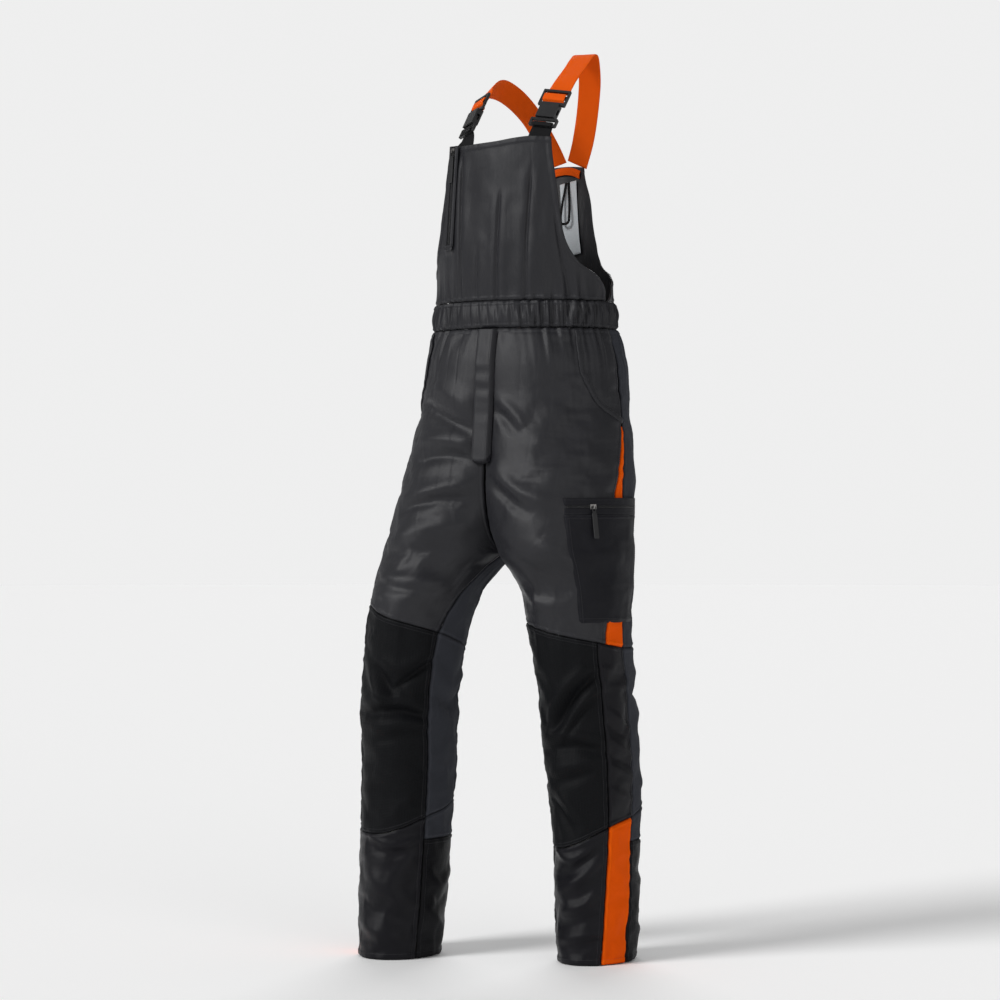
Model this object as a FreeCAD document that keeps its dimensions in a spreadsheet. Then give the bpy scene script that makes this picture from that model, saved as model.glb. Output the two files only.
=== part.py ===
"""A bib-and-brace work overall with cut-protection pads, as separate sewn panels, braces, buckles and zips.

Heights in the spreadsheet are measured upwards from the hem. The model's own origin is the middle of the
waist, with +Z up, -Y to the wearer's front and +X to the wearer's left, so every part is placed with its
origin lowered by waist_height. Lengths are millimetres.
"""
import FreeCAD
import Part

import math
import os

import Sketcher

V = FreeCAD.Vector
doc = FreeCAD.newDocument("Overall")
sheet = doc.addObject("Spreadsheet::Sheet", "Dims")
made = []

# ---------------------------------------------------------------------------------------------------------
# Driving dimensions
# ---------------------------------------------------------------------------------------------------------

SIZES = {
    # heights above the hem
    "waist_height": 1077.0,
    "waist_seam": 1054.0,
    "bib_seam": 1100.0,
    "bib_top": 1368.0,
    "back_top": 1346.0,
    "crotch": 683.0,
    "knee": 440.0,
    "knee_gap": 105.0,
    "patch_top": 545.0,
    "patch_foot": 208.0,
    "fly_foot": 828.0,
    "insert_top": 890.0,
    "thigh_pad_top": 964.0,
    "thigh_lining_top": 994.0,
    "shin_pad_foot": 45.0,
    "shin_pad_top": 515.0,
    "shin_lining_foot": 30.0,
    "hand_pocket_foot": 968.0,
    "hand_pocket_top": 1046.0,
    "fly_zip_top": 1002.0,
    "chest_bag_foot": 1160.0,
    "chest_bag_top": 1336.0,
    "bib_lining_top": 1338.0,
    # cloth
    "cloth": 1.6,
    "layer_gap": 1.7,
    "pad": 7.0,
    "lining": 1.0,
    "seam_gap": 0.5,
    "crotch_blend": 75.0,
    "pad_clear": 10.0,
    "band_proud": 1.0,
    "band": 3.0,
    "elastic_inset": 2.6,
    "elastic": 1.6,
    "elastic_edge": 4.0,
    "bib": 2.4,
    "bib_lining_inset": 8.0,
    "chest_bag_inset": 4.0,
    "yoke_height": 24.0,
    "yoke": 1.6,
    # braces
    "web_width": 40.0,
    "web": 1.8,
    # buckle
    "body_width": 34.0,
    "body_length": 30.0,
    "body_thick": 12.0,
    "body_hollow": 28.0,
    "hollow_thick": 7.0,
    "hollow_depth": 25.0,
    "window_foot": 9.0,
    "window_length": 11.0,
    "ladder_width": 50.0,
    "ladder_length": 32.0,
    "ladder_thick": 4.0,
    "slot_width": 43.0,
    "slot_height": 8.0,
    "slot_pitch": 14.5,
    "ring_width": 50.0,
    "ring_length": 17.0,
    "ring_thick": 4.5,
    "ring_slot": 8.0,
    "mouth_gap": 0.4,
    "prong_length": 19.0,
    "prong_width": 4.0,
    "prong_spread": 19.0,
    "guide_width": 5.0,
    "tongue_thick": 4.0,
    "barb_width": 2.0,
    "barb_length": 8.0,
    "edge_round": 1.2,
    # zips
    "tape_width": 20.0,
    "tape": 0.8,
    "coil_width": 5.0,
    "coil": 1.8,
    "zip_play": 0.35,
    "zip_slit": 2.2,
    "slider_width": 8.0,
    "slider_length": 11.0,
    "slider_thick": 4.4,
    "bail_width": 2.4,
    "bail_height": 3.4,
    "bail_length": 5.6,
    "bail_wall": 1.0,
    "pull_width": 7.0,
    "pull_window": 3.6,
    "pull_reach": 14.0,
    "pull_thick": 1.0,
    "pull_bar": 1.0,
    "grip_width": 9.0,
    "grip_length": 42.0,
    "grip_thick": 2.4,
    "chest_zip_length": 170.0,
    "fly_zip_length": 150.0,
    # label and hanger
    "label_width": 34.0,
    "label_length": 128.0,
    "label": 0.8,
    "label_slant": 22.0,
    "loop_width": 22.0,
    "loop_length": 76.0,
    "loop_band": 6.0,
}

# Section of each trouser leg at a height above the hem: the middle of the left leg (x, y), the middle of the
# right leg (x, y), the half width of the left and the right leg, and the half depth. Above the crotch the two
# sections overlap at the rise seam, and at the waist both middles are on the body's axis.
LEG_COLUMNS = ("height", "left_x", "left_y", "right_x", "right_y", "left_half", "right_half", "depth")
LEG_STATIONS = {
    "hem": (0, 139.5, -2, 180, -111, 60, 64, 81),
    "ankle": (107, 138.5, 0, 176, -107, 65, 70, 86),
    "calf": (209, 138.5, -2, 172, -104, 67, 72, 88),
    "shin": (311, 138, -11, 165, -107, 73, 75, 92),
    "kneecap": (430, 133, -23, 156, -120, 76, 76, 93),
    "thigh_low": (515, 128, -34, 145, -122, 79, 79, 96),
    "thigh_mid": (592, 122, -36, 130, -116, 85, 84, 103),
    "thigh_top": (650, 113, -33, 115, -98, 94, 93, 112),
    "fork": (683, 104, -36, 104, -80, 104, 104, 120),
    "hip_low": (770, 82, -30, 82, -41, 123, 123, 130),
    "hip": (847, 60, -13, 60, -13, 136, 136, 136),
    "belly": (923, 35, 0, 35, 0, 150, 150, 136),
    "belly_top": (1000, 15, 4, 15, 4, 161, 161, 134),
    "waist": (1054, 0, 0, 0, 0, 164, 164, 120),
}

# Section of the upper body at a height above the hem: sideways lean, half width and depth of the front, half
# width of the bib, half width and depth of the back, half width of the back panel.
TORSO_COLUMNS = ("height", "lean", "front_half", "front_depth", "bib_half", "back_half", "back_depth", "back_edge")
TORSO_STATIONS = {
    "band_foot": (1054, 0, 160, 120, 160, 160, 112, 160),
    "band_head": (1100, 0, 159, 118, 159, 159, 112, 159),
    "arm_foot": (1140, 1, 160, 121, 156, 157, 110, 142),
    "arm_low": (1165, 2, 163, 123, 137, 155, 108, 104),
    "arm_mid": (1204, 3, 171, 124, 122, 150, 108, 86),
    "chest": (1280, 6, 177, 119.5, 110, 150, 116, 65),
    "arm_high": (1338, 8, 174, 117.5, 100, 150, 128, 40),
    "bib_head": (1368, 10, 170, 115, 95, 150, 133, 38),
}

for row, (alias, value) in enumerate(SIZES.items(), start=1):
    sheet.set(f"A{row}", alias)
    sheet.set(f"B{row}", str(value))
    sheet.setAlias(f"B{row}", alias)


def store_table(stations, columns, first_row, tag):
    """Puts one row of cells in the sheet for each station, with an alias for each cell."""
    for row, (station, values) in enumerate(stations.items(), start=first_row):
        for column, value in zip(columns, values):
            cell = f"{chr(ord('D') + columns.index(column))}{row}"
            sheet.set(cell, str(value))
            sheet.setAlias(cell, f"{tag}_{station}_{column}")


store_table(LEG_STATIONS, LEG_COLUMNS, 1, "leg")
store_table(TORSO_STATIONS, TORSO_COLUMNS, 30, "torso")
doc.recompute()


def dim(alias):
    return float(sheet.get(alias))


def rows_of(stations, columns, tag):
    return [[dim(f"{tag}_{station}_{column}") for column in columns] for station in stations]


LEG_ROWS = rows_of(LEG_STATIONS, LEG_COLUMNS, "leg")
TORSO_ROWS = rows_of(TORSO_STATIONS, TORSO_COLUMNS, "torso")
WAIST = FreeCAD.Placement(V(0, 0, -dim("waist_height")), FreeCAD.Rotation())
LEFT, RIGHT = 1, -1


# ---------------------------------------------------------------------------------------------------------
# The garment's surface
# ---------------------------------------------------------------------------------------------------------


def smooth(rows, height):
    """The row of values at a height, on a cubic through the stations."""
    last = len(rows) - 1
    k = max(i for i in range(last) if rows[i][0] <= height or i == 0)

    def slope(i, c):
        low, high = rows[max(i - 1, 0)], rows[min(i + 1, last)]
        return (high[c] - low[c]) / (high[0] - low[0])

    a, b = rows[k], rows[k + 1]
    span = b[0] - a[0]
    t = min(max((height - a[0]) / span, 0.0), 1.0)
    t2, t3 = t * t, t * t * t
    return [
        (2 * t3 - 3 * t2 + 1) * a[c] + (t3 - 2 * t2 + t) * span * slope(k, c)
        + (3 * t2 - 2 * t3) * b[c] + (t3 - t2) * span * slope(k + 1, c)
        for c in range(len(a))
    ]


def leg_section(side, height):
    """Middle x and y, half width and half depth of a leg, and how far its rise seam is moved to meet the other."""
    _, left_x, left_y, right_x, right_y, left_half, right_half, depth = smooth(LEG_ROWS, height)
    x, y, half = (left_x, left_y, left_half) if side == LEFT else (right_x, right_y, right_half)
    fade = min(max((height - dim("crotch") + dim("crotch_blend")) / dim("crotch_blend"), 0.0), 1.0)
    drift = ((left_y + right_y) / 2 - y) * fade * fade * (3 - 2 * fade)
    return x, y, half, depth, drift


def rise_angle(side, height):
    """Angle of the rise seam on a leg's section, in degrees from the inner side. It is 0 below the crotch."""
    if height <= dim("crotch"):
        return 0.0
    x, _, half, _, _ = leg_section(side, height)
    return math.degrees(math.acos(min(x / half, 1.0)))


def leg_point(side, height, angle, inset):
    """A point on a leg: angle is 0 at the inner side, 90 in front, 180 outside and 270 behind."""
    x, y, half, depth, drift = leg_section(side, height)
    a = math.radians(angle)
    start = math.cos(math.radians(rise_angle(side, height)))
    pull = min((math.cos(a) + 1) / (start + 1), 1.0)
    return V(side * (x - (half - inset) * math.cos(a)), y - (depth - inset) * math.sin(a) + drift * pull, height)


def torso_point(height, angle, inset):
    """A point on the upper body: angle is 0 in front, 90 at the wearer's left and 180 behind."""
    _, lean, front_half, front_depth, _, back_half, back_depth, _ = smooth(TORSO_ROWS, height)
    a = math.radians(angle)
    half, depth = (front_half, front_depth) if math.cos(a) > 0 else (back_half, back_depth)
    return V(lean + (half - inset) * math.sin(a), -(depth - inset) * math.cos(a), height)


def torso_edge(height, behind):
    """Angle from the middle of the front, or of the back, to the armhole's edge."""
    row = smooth(TORSO_ROWS, height)
    half, edge = (row[5], row[7]) if behind else (row[2], row[4])
    return math.degrees(math.asin(min(edge / half, 0.9999)))


def heights(low, high):
    """Even steps from low to high, small enough for a surface through them to follow the body's shape."""
    count = max(4, math.ceil((high - low) / 25.0) + 1)
    return [low + (high - low) * i / (count - 1) for i in range(count)]


def edge_middle(edge):
    return edge.valueAt((edge.FirstParameter + edge.LastParameter) / 2)


def between_skins(outer, inner):
    """A solid between two smooth surfaces, each through a grid of points, closed round its four edges."""
    skins = []
    for grid in (outer, [row[::-1] for row in inner]):
        skin = Part.BSplineSurface()
        skin.interpolate(grid)
        skins.append(skin.toShape())
    rims = []
    for edge in skins[0].Edges:
        opposite = min(skins[1].Edges, key=lambda e: (edge_middle(e) - edge_middle(edge)).Length)
        rims.append(Part.makeRuledSurface(edge, opposite))
    shell = Part.makeShell(skins + rims)
    shell.sewShape()
    solid = Part.makeSolid(shell)
    if not solid.isValid():
        solid.fix(1e-4, 1e-4, 1e-3)
    if solid.Volume < 0:
        solid.reverse()
    return solid


def shell(point, span, low, high, inset, thick):
    """A sewn panel: point(height, angle, inset) between the angles span(height), from low to high."""
    widest = max(span(h)[1] - span(h)[0] for h in (low, high))
    across = max(7, math.ceil(widest / 12) + 1)
    grids = []
    for depth in (inset, inset + thick):
        rows = []
        for h in heights(low, high):
            start, end = span(h)
            rows.append([point(h, start + (end - start) * i / (across - 1), depth) for i in range(across)])
        grids.append(rows)
    return between_skins(*grids)


def add_cloth(label, shape):
    """Keeps a sewn part, whose shape is in heights above the hem."""
    part = doc.addObject("Part::Feature", label)
    part.Label = label
    part.Shape = shape
    part.Placement = WAIST
    made.append(part)
    return part


def add_leg_panel(label, side, span, low, high, inset=0.0, thick=None):
    gap = dim("seam_gap") / 2
    width = dim("cloth") if thick is None else thick
    shape = shell(lambda h, a, i: leg_point(side, h, a, i), span, low + gap, high - gap, inset, width)
    return add_cloth(label, shape)


def between(start, end):
    """Angles of a panel's two long edges, less half the seam gap at each."""
    trim = 0.3
    return lambda h: (start + trim, end - trim)


# ---------------------------------------------------------------------------------------------------------
# Trouser panels, pads and linings
# ---------------------------------------------------------------------------------------------------------

INNER_FRONT, INNER_BACK = 30.0, 318.0
OUTER_FRONT, SIDE_SEAM = 142.0, 180.0
STRIPE_FRONT, STRIPE_BACK = 132.0, 172.0
INSERT_WIDE = 24.0
RIGHT_TURN = 16.0
RISE_TRIM = 0.8
CROTCH_CLEAR = 44.0
PAD_INSET = dim("cloth") + dim("layer_gap")
LINING_INSET = PAD_INSET + dim("pad") + dim("layer_gap")


def rear_span(side):
    """From the side seam round behind to the rise seam, or below it to the inner seam."""
    return lambda h: (SIDE_SEAM + 0.7, min(INNER_BACK, 360 - rise_angle(side, h)) - RISE_TRIM)


def crotch_span(side, low, high, trim):
    """The two angles of the inner panel, which narrows to nothing where the rise seam takes over."""
    def span(h):
        share = (high - h) / (high - low)
        return (-42 * (0.15 + 0.85 * share) + trim, INNER_FRONT * (0.15 + 0.85 * share) - trim)
    return span


def side_insert_span(low, high, wide):
    """A wedge that ends in a point at the top, on the side seam."""
    def span(h):
        share = (high - h) / (high - low)
        return (SIDE_SEAM - 2.0 - wide * share, SIDE_SEAM - 0.4)
    return span


def make_trouser_half(name, side):
    """One leg's panels. The right leg's orange stripe sits further round to the outside than the left's."""
    turn = 0.0 if side == LEFT else RIGHT_TURN
    stripe_front, stripe_back = STRIPE_FRONT + turn, STRIPE_BACK + turn
    seat_foot = dim("knee") + dim("knee_gap")
    shin_head = dim("knee") - dim("knee_gap")
    waist, crotch = dim("waist_seam"), dim("crotch")
    patch_top, patch_foot = dim("patch_top"), dim("patch_foot")
    insert_top = dim("insert_top")
    insert = side_insert_span(patch_top, insert_top, INSERT_WIDE)

    # The thigh's front ends at the orange insert, and above the insert it reaches the side seam.
    def thigh_span(h):
        end = insert(h)[0] - 0.9 if h < insert_top else SIDE_SEAM - 2.9
        return (max(INNER_FRONT, rise_angle(side, h)) + RISE_TRIM, end)

    add_leg_panel(f"{name}_thigh_front", side, thigh_span, patch_top, waist)
    add_leg_panel(f"{name}_side_insert", side, insert, patch_top, insert_top)
    add_leg_panel(f"{name}_seat_panel", side, rear_span(side), seat_foot, waist)
    add_leg_panel(f"{name}_inner_panel", side, crotch_span(side, seat_foot, crotch, RISE_TRIM), seat_foot, crotch - 4)
    add_leg_panel(f"{name}_knee_back", side, between(OUTER_FRONT, 360 + INNER_FRONT), shin_head, seat_foot)
    add_leg_panel(f"{name}_knee_patch", side, between(INNER_FRONT, OUTER_FRONT), patch_foot, patch_top)
    add_leg_panel(f"{name}_shin_front", side, between(INNER_FRONT, stripe_front), 0, patch_foot)
    add_leg_panel(f"{name}_shin_insert", side, between(stripe_front, stripe_back), 0, patch_foot)
    add_leg_panel(f"{name}_calf_panel", side, between(OUTER_FRONT, 360 + INNER_FRONT), patch_foot, shin_head)
    add_leg_panel(f"{name}_kick_patch", side, between(stripe_back, 360 + INNER_FRONT), 0, patch_foot)

    # The pads stop short of the knee's fold and of the rise seam.
    pad_clear, pad, lining = dim("pad_clear"), dim("pad"), dim("lining")

    def pad_span(h):
        return (max(CROTCH_CLEAR, rise_angle(side, h)) + 3.0, SIDE_SEAM - 8.0)

    add_leg_panel(f"{name}_thigh_pad", side, pad_span, patch_top + pad_clear, dim("thigh_pad_top"),
                  PAD_INSET, pad)
    add_leg_panel(f"{name}_shin_pad", side, between(INNER_FRONT + 3, OUTER_FRONT - 3), dim("shin_pad_foot"),
                  dim("shin_pad_top"), PAD_INSET, pad)

    def lining_span(h):
        return (max(CROTCH_CLEAR, rise_angle(side, h)) + 1.0, min(360 - CROTCH_CLEAR, 360 - rise_angle(side, h)) - 1.0)

    add_leg_panel(f"{name}_thigh_lining", side, lining_span, patch_top + pad_clear, dim("thigh_lining_top"),
                  LINING_INSET, lining)
    add_leg_panel(f"{name}_shin_lining", side, between(4.0, 356.0), dim("shin_lining_foot"),
                  shin_head - pad_clear, LINING_INSET, lining)


make_trouser_half("left", LEFT)
make_trouser_half("right", RIGHT)


# ---------------------------------------------------------------------------------------------------------
# Fly, pockets and waist
# ---------------------------------------------------------------------------------------------------------


def belly_y(x, h):
    """The front of the trousers at a place near the rise seam."""
    side = LEFT if x >= 0 else RIGHT
    cx, cy, half, depth, drift = leg_section(side, h)
    reach = (cx - abs(x)) / half
    return cy - depth * math.sqrt(max(1 - reach * reach, 0.0)) + drift


def fly_strip(x_from, x_to, low, high, lift, thick):
    """A flat strip that bridges the rise seam's shallow valley, between two x."""
    outer, inner = [], []
    for h in heights(low, high):
        front = min(belly_y(x, h) for x in (x_from, 0, x_to)) - lift
        across = [x_from + (x_to - x_from) * i / 3 for i in range(4)]
        outer.append([V(x, front, h) for x in across])
        inner.append([V(x, front + thick, h) for x in across])
    return between_skins(outer, inner)


FLY_FROM, FLY_TO, FLY_LIFT = -20.0, 17.0, 10.4
add_cloth("fly_placket", fly_strip(FLY_FROM, FLY_TO, dim("fly_foot"), dim("waist_seam") - 2, FLY_LIFT, dim("cloth")))

# The thigh pocket's zip runs on a circle through three points of the leg's section at its own height.
ZIP_HEIGHT, BAND_HALF, POCKET_FOOT = 757.0, 14.0, 566.0
SLIDER_FROM_END = 21.0
PULL_TILT = 0.2
POCKET_FRONT, POCKET_MIDDLE, POCKET_BACK = 123.0, 164.0, 205.0
POCKET_LIFT = 1.4


def circle_through(a, b, c):
    """Centre and radius of the circle through three points, seen from above."""
    d = 2 * (a.x * (b.y - c.y) + b.x * (c.y - a.y) + c.x * (a.y - b.y))
    aa, bb, cc = (p.x * p.x + p.y * p.y for p in (a, b, c))
    x = (aa * (b.y - c.y) + bb * (c.y - a.y) + cc * (a.y - b.y)) / d
    y = (aa * (c.x - b.x) + bb * (a.x - c.x) + cc * (b.x - a.x)) / d
    return V(x, y, 0), math.hypot(a.x - x, a.y - y)


ZIP_MARKS = [leg_point(LEFT, ZIP_HEIGHT, a, 0) for a in (POCKET_FRONT, POCKET_MIDDLE, POCKET_BACK)]
ZIP_CENTRE, ZIP_RADIUS = circle_through(*ZIP_MARKS)
ZIP_RADIUS = ZIP_RADIUS + dim("slider_thick") / 2 + 1.2


def bearing(point):
    """Direction of a point from the zip's centre, in degrees from the front towards the wearer's left."""
    return math.degrees(math.atan2(point.x - ZIP_CENTRE.x, -(point.y - ZIP_CENTRE.y)))


def on_circle(height, angle, inset):
    a = math.radians(angle)
    r = ZIP_RADIUS - inset
    return V(ZIP_CENTRE.x + r * math.sin(a), ZIP_CENTRE.y - r * math.cos(a), height)


ZIP_START, ZIP_END = bearing(ZIP_MARKS[0]), bearing(ZIP_MARKS[2])
add_leg_panel("thigh_pocket", LEFT, between(POCKET_FRONT, POCKET_BACK), POCKET_FOOT, ZIP_HEIGHT - BAND_HALF,
              -POCKET_LIFT - dim("cloth"), dim("cloth"))


def add_thigh_zip_band():
    """The pocket's black top band, with the zip's coil along its middle."""
    tape, coil, wide = dim("tape"), dim("coil"), dim("coil_width") / 2
    slit = shell(on_circle, lambda h: (ZIP_START + 3, ZIP_END - 3), ZIP_HEIGHT - dim("zip_slit") / 2,
                 ZIP_HEIGHT + dim("zip_slit") / 2, -coil, 2 * coil)
    band = shell(on_circle, lambda h: (ZIP_START, ZIP_END), ZIP_HEIGHT - BAND_HALF + 0.3, ZIP_HEIGHT + BAND_HALF,
                 -tape / 2, tape)
    teeth = shell(on_circle, lambda h: (ZIP_START + 2, ZIP_END - 2), ZIP_HEIGHT - wide, ZIP_HEIGHT + wide,
                  -coil / 2, coil)
    add_cloth("thigh_zip_band", band.fuse(teeth).cut(slit))


add_thigh_zip_band()

for name, side in (("left", LEFT), ("right", RIGHT)):
    # The hand pocket's bag hangs from the waist seam, between the front panel and the pad.
    add_leg_panel(f"{name}_hand_pocket", side, between(112.0, 176.0), dim("hand_pocket_foot"),
                  dim("hand_pocket_top"), PAD_INSET, dim("cloth"))


def torso_shell(span, low, high, inset, thick):
    return shell(torso_point, span, low, high, inset, thick)


SEAM = dim("seam_gap") / 2
BAND_LOW, BAND_HIGH = dim("waist_seam") + SEAM, dim("bib_seam") - SEAM
add_cloth("front_waistband", torso_shell(lambda h: (-89.7, 89.7), BAND_LOW, BAND_HIGH,
                                          -dim("band_proud"), dim("band")))
add_cloth("back_waistband", torso_shell(lambda h: (90.3, 269.7), BAND_LOW, BAND_HIGH,
                                         -dim("band_proud"), dim("band")))
add_cloth("waist_elastic", torso_shell(lambda h: (95, 265), BAND_LOW + dim("elastic_edge"),
                                        BAND_HIGH - dim("elastic_edge"), dim("elastic_inset"), dim("elastic")))


def bib_span(h):
    edge = torso_edge(h, behind=False)
    return (-edge + 0.3, edge - 0.3)


def back_span(h):
    edge = torso_edge(h, behind=True)
    return (180 - edge + 0.3, 180 + edge - 0.3)


def narrower(span, trim):
    return lambda h: (span(h)[0] + trim, span(h)[1] - trim)


BIB_LOW, BIB_TOP, BACK_TOP = dim("bib_seam") + SEAM, dim("bib_top"), dim("back_top")
BIB_THICK = dim("bib")
YOKE_FOOT = BACK_TOP - dim("yoke_height")
add_cloth("bib_panel", torso_shell(bib_span, BIB_LOW, BIB_TOP, 0.0, BIB_THICK))
add_cloth("bib_lining", torso_shell(narrower(bib_span, 2.0), BIB_LOW + 2, dim("bib_lining_top"),
                                     dim("bib_lining_inset"), dim("lining")))
add_cloth("chest_pocket_bag", torso_shell(lambda h: (bib_span(h)[0] + 3, bib_span(h)[0] + 36),
                                          dim("chest_bag_foot"), dim("chest_bag_top"), dim("chest_bag_inset"),
                                          dim("cloth")))
add_cloth("back_panel", torso_shell(back_span, BIB_LOW, BACK_TOP, 0.0, BIB_THICK))
add_cloth("strap_yoke", torso_shell(narrower(back_span, 0.5), YOKE_FOOT, BACK_TOP - 1, BIB_THICK + 1.0,
                                     dim("yoke")))


# ---------------------------------------------------------------------------------------------------------
# Braces
# ---------------------------------------------------------------------------------------------------------


def ribbon(path, width, thick):
    """A flat strap: path holds (middle of the strap, direction of its width) pairs."""
    wires = []
    last = len(path) - 1
    for k, (point, across) in enumerate(path):
        run = (path[min(k + 1, last)][0] - path[max(k - 1, 0)][0]).normalize()
        wide = V(across)
        wide = (wide - run * wide.dot(run)).normalize()
        up = wide.cross(run)
        corners = [point + wide * (i * width / 2) + up * (j * thick / 2) for i, j in
                   ((-1, -1), (1, -1), (1, 1), (-1, 1))]
        wires.append(Part.makePolygon(corners + corners[:1]))
    return Part.makeLoft(wires, True, True)


def curve_points(anchors, per_span=4):
    """Points on a smooth curve through the anchors, which are (point, width direction) pairs."""
    found = []
    last = len(anchors) - 1
    for k in range(last):
        p0, p1 = anchors[max(k - 1, 0)][0], anchors[k][0]
        p2, p3 = anchors[k + 1][0], anchors[min(k + 2, last)][0]
        for i in range(per_span):
            t = i / per_span
            where = (p1 * 2 + (p2 - p0) * t + (p0 * 2 - p1 * 5 + p2 * 4 - p3) * t**2
                     + (p1 * 3 - p0 - p2 * 3 + p3) * t**3) * 0.5
            found.append((where, anchors[k][1] * (1 - t) + anchors[k + 1][1] * t))
    return found + [anchors[-1]]


# Each buckle: the point of its mouth, the direction up the strap, and the direction of its width.
BUCKLES = {
    "left": (V(84, -80, 1402), V(0.08, 0.58, 0.81), V(0.99, 0.10, -0.10)),
    "right": (V(-58, -86, 1397), V(0.12, 0.51, 0.85), V(0.82, -0.56, 0.1)),
}

# Middle of each strap over the shoulder, from just above the buckle's ladder to the yoke behind, with the
# direction of the strap's width.
STRAPS = {
    "left": [
        (V(91, -22, 1471), V(0.99, 0.05, -0.05)), (V(94, 4, 1495), V(0.97, 0.1, 0)),
        (V(95, 28, 1516), V(0.95, 0.15, 0)), (V(95, 41, 1522), V(0.95, 0.15, 0)),
        (V(93, 54, 1514), V(0.95, 0.1, 0)), (V(84, 76, 1479), V(0.97, 0, 0.1)),
        (V(66, 100, 1428), V(0.97, -0.1, 0.2)), (V(48, 118, 1385), V(0.96, -0.1, 0.2)),
        (V(31, 128.5, 1348.5), V(0.98, -0.1, 0.1)),
    ],
    "right": [
        (V(-52, -36, 1460), V(0.78, -0.5, 0.35)), (V(-55, -8, 1469), V(0.65, -0.4, 0.6)),
        (V(-55, 24, 1469), V(0.55, -0.35, 0.75)), (V(-47, 54, 1456), V(0.55, -0.35, 0.75)),
        (V(-36, 82, 1432), V(0.65, -0.3, 0.65)), (V(-26, 104, 1402), V(0.8, -0.2, 0.5)),
        (V(-17, 120, 1374), V(0.95, -0.05, 0.25)), (V(-10, 130.5, 1348.5), V(0.98, 0.05, 0.1)),
    ],
}


def buckle_axes(name):
    origin, up, wide = BUCKLES[name]
    up = V(up).normalize()
    wide = (V(wide) - up * V(wide).dot(up)).normalize()
    return origin, wide, up.cross(wide), up


def on_buckle(name, x, y, z):
    """A point given in a buckle's own axes: x across, y towards the chest and z up the strap."""
    origin, wide, inward, up = buckle_axes(name)
    return origin + wide * x + inward * y + up * z


def add_strap(name):
    """The webbing goes round the ladder's middle bar and over the shoulder to the yoke."""
    _, wide, _, _ = buckle_axes(name)
    bar = dim("body_length") + dim("ladder_length") / 2
    out = dim("ladder_thick") / 2 + dim("web") / 2 + 0.6
    pitch = dim("slot_pitch") / 2
    round_bar = [(out + 1.0, -pitch - 7), (out + 0.3, -pitch - 4), (0, -pitch - 0.6), (-out + 0.5, -pitch + 1.8),
                 (-out, 0), (-out + 0.5, pitch - 1.8), (0, pitch + 0.6), (out + 0.3, pitch + 4),
                 (out + 1.0, pitch + 9)]
    wrap = [(on_buckle(name, 0, y, bar + z), wide) for y, z in round_bar]
    path = wrap + curve_points([wrap[-1]] + STRAPS[name])[1:]
    add_cloth(f"{name}_strap", ribbon(path, dim("web_width"), dim("web")))


def add_tab(name):
    """The webbing tab that is sewn inside the bib's top and holds the buckle's ring."""
    mouth, wide, _, _ = buckle_axes(name)
    row = smooth(TORSO_ROWS, BIB_TOP)
    angle = math.degrees(math.asin((mouth.x - row[1]) / row[2]))
    inset = BIB_THICK + 1.2 + dim("web") / 2
    foot = torso_point(BIB_TOP - 24, angle, inset)
    edge = torso_point(BIB_TOP - 2, angle, inset)
    along = (torso_point(BIB_TOP, angle + 4, 0) - torso_point(BIB_TOP, angle - 4, 0)).normalize()
    slot = -dim("mouth_gap") - dim("ring_length") / 2
    half = dim("ring_thick") / 2 + dim("web") / 2 + 0.5
    turn = [(half, -9.0), (half, -3.2), (half - 1.2, -1.4), (0, -0.2), (-half + 1.2, -1.4), (-half, -3.6)]
    path = [(foot, along), (edge, along)] + [(on_buckle(name, 0, y, slot + z), wide) for y, z in turn]
    add_cloth(f"{name}_bib_tab", ribbon(path, dim("web_width") - 3, dim("web")))


# ---------------------------------------------------------------------------------------------------------
# Moulded and metal parts
# ---------------------------------------------------------------------------------------------------------


def plane(body, role):
    return next(f for f in body.Origin.OriginFeatures if f.Role == role)


def rectangle(body, name, role, width, height, across="0", up="0"):
    """A sketch of one rectangle, whose size and middle are expressions."""
    sketch = body.newObject("Sketcher::SketchObject", name)
    sketch.AttachmentSupport = [(plane(body, role), "")]
    sketch.MapMode = "FlatFace"
    corners = [V(-1, -1, 0), V(1, -1, 0), V(1, 1, 0), V(-1, 1, 0)]
    for k in range(4):
        sketch.addGeometry(Part.LineSegment(corners[k], corners[(k + 1) % 4]), False)
    for k in range(4):
        sketch.addConstraint(Sketcher.Constraint("Coincident", k, 2, (k + 1) % 4, 1))
    for k, kind in enumerate(("Horizontal", "Vertical", "Horizontal", "Vertical")):
        sketch.addConstraint(Sketcher.Constraint(kind, k))
    bound = {
        "width": (("DistanceX", 0, 1, 0, 2), width),
        "height": (("DistanceY", 1, 1, 1, 2), height),
        "left": (("DistanceX", -1, 1, 0, 1), f"({across}) - ({width}) / 2"),
        "foot": (("DistanceY", -1, 1, 0, 1), f"({up}) - ({height}) / 2"),
    }
    for label, (arguments, expression) in bound.items():
        kind, *where = arguments
        index = sketch.addConstraint(Sketcher.Constraint(kind, *where, -1.0 if label in ("left", "foot") else 2.0))
        sketch.renameConstraint(index, label)
        sketch.setExpression(f"Constraints.{label}", expression)
    doc.recompute()
    return sketch


def extrude(body, kind, sketch, length, name):
    """A pad or a pocket, half each way from the sketch's plane."""
    feature = body.newObject(f"PartDesign::{kind}", name)
    feature.Profile = sketch
    feature.Midplane = True
    feature.setExpression("Length", length)
    doc.recompute()
    return feature


def block(body, kind, name, width, height, thick, across="0", up="0", role="XZ_Plane"):
    return extrude(body, kind, rectangle(body, name + "Sketch", role, width, height, across, up), thick, name)


def new_body(label):
    body = doc.addObject("PartDesign::Body", label)
    body.Label = label
    made.append(body)
    return body


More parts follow.
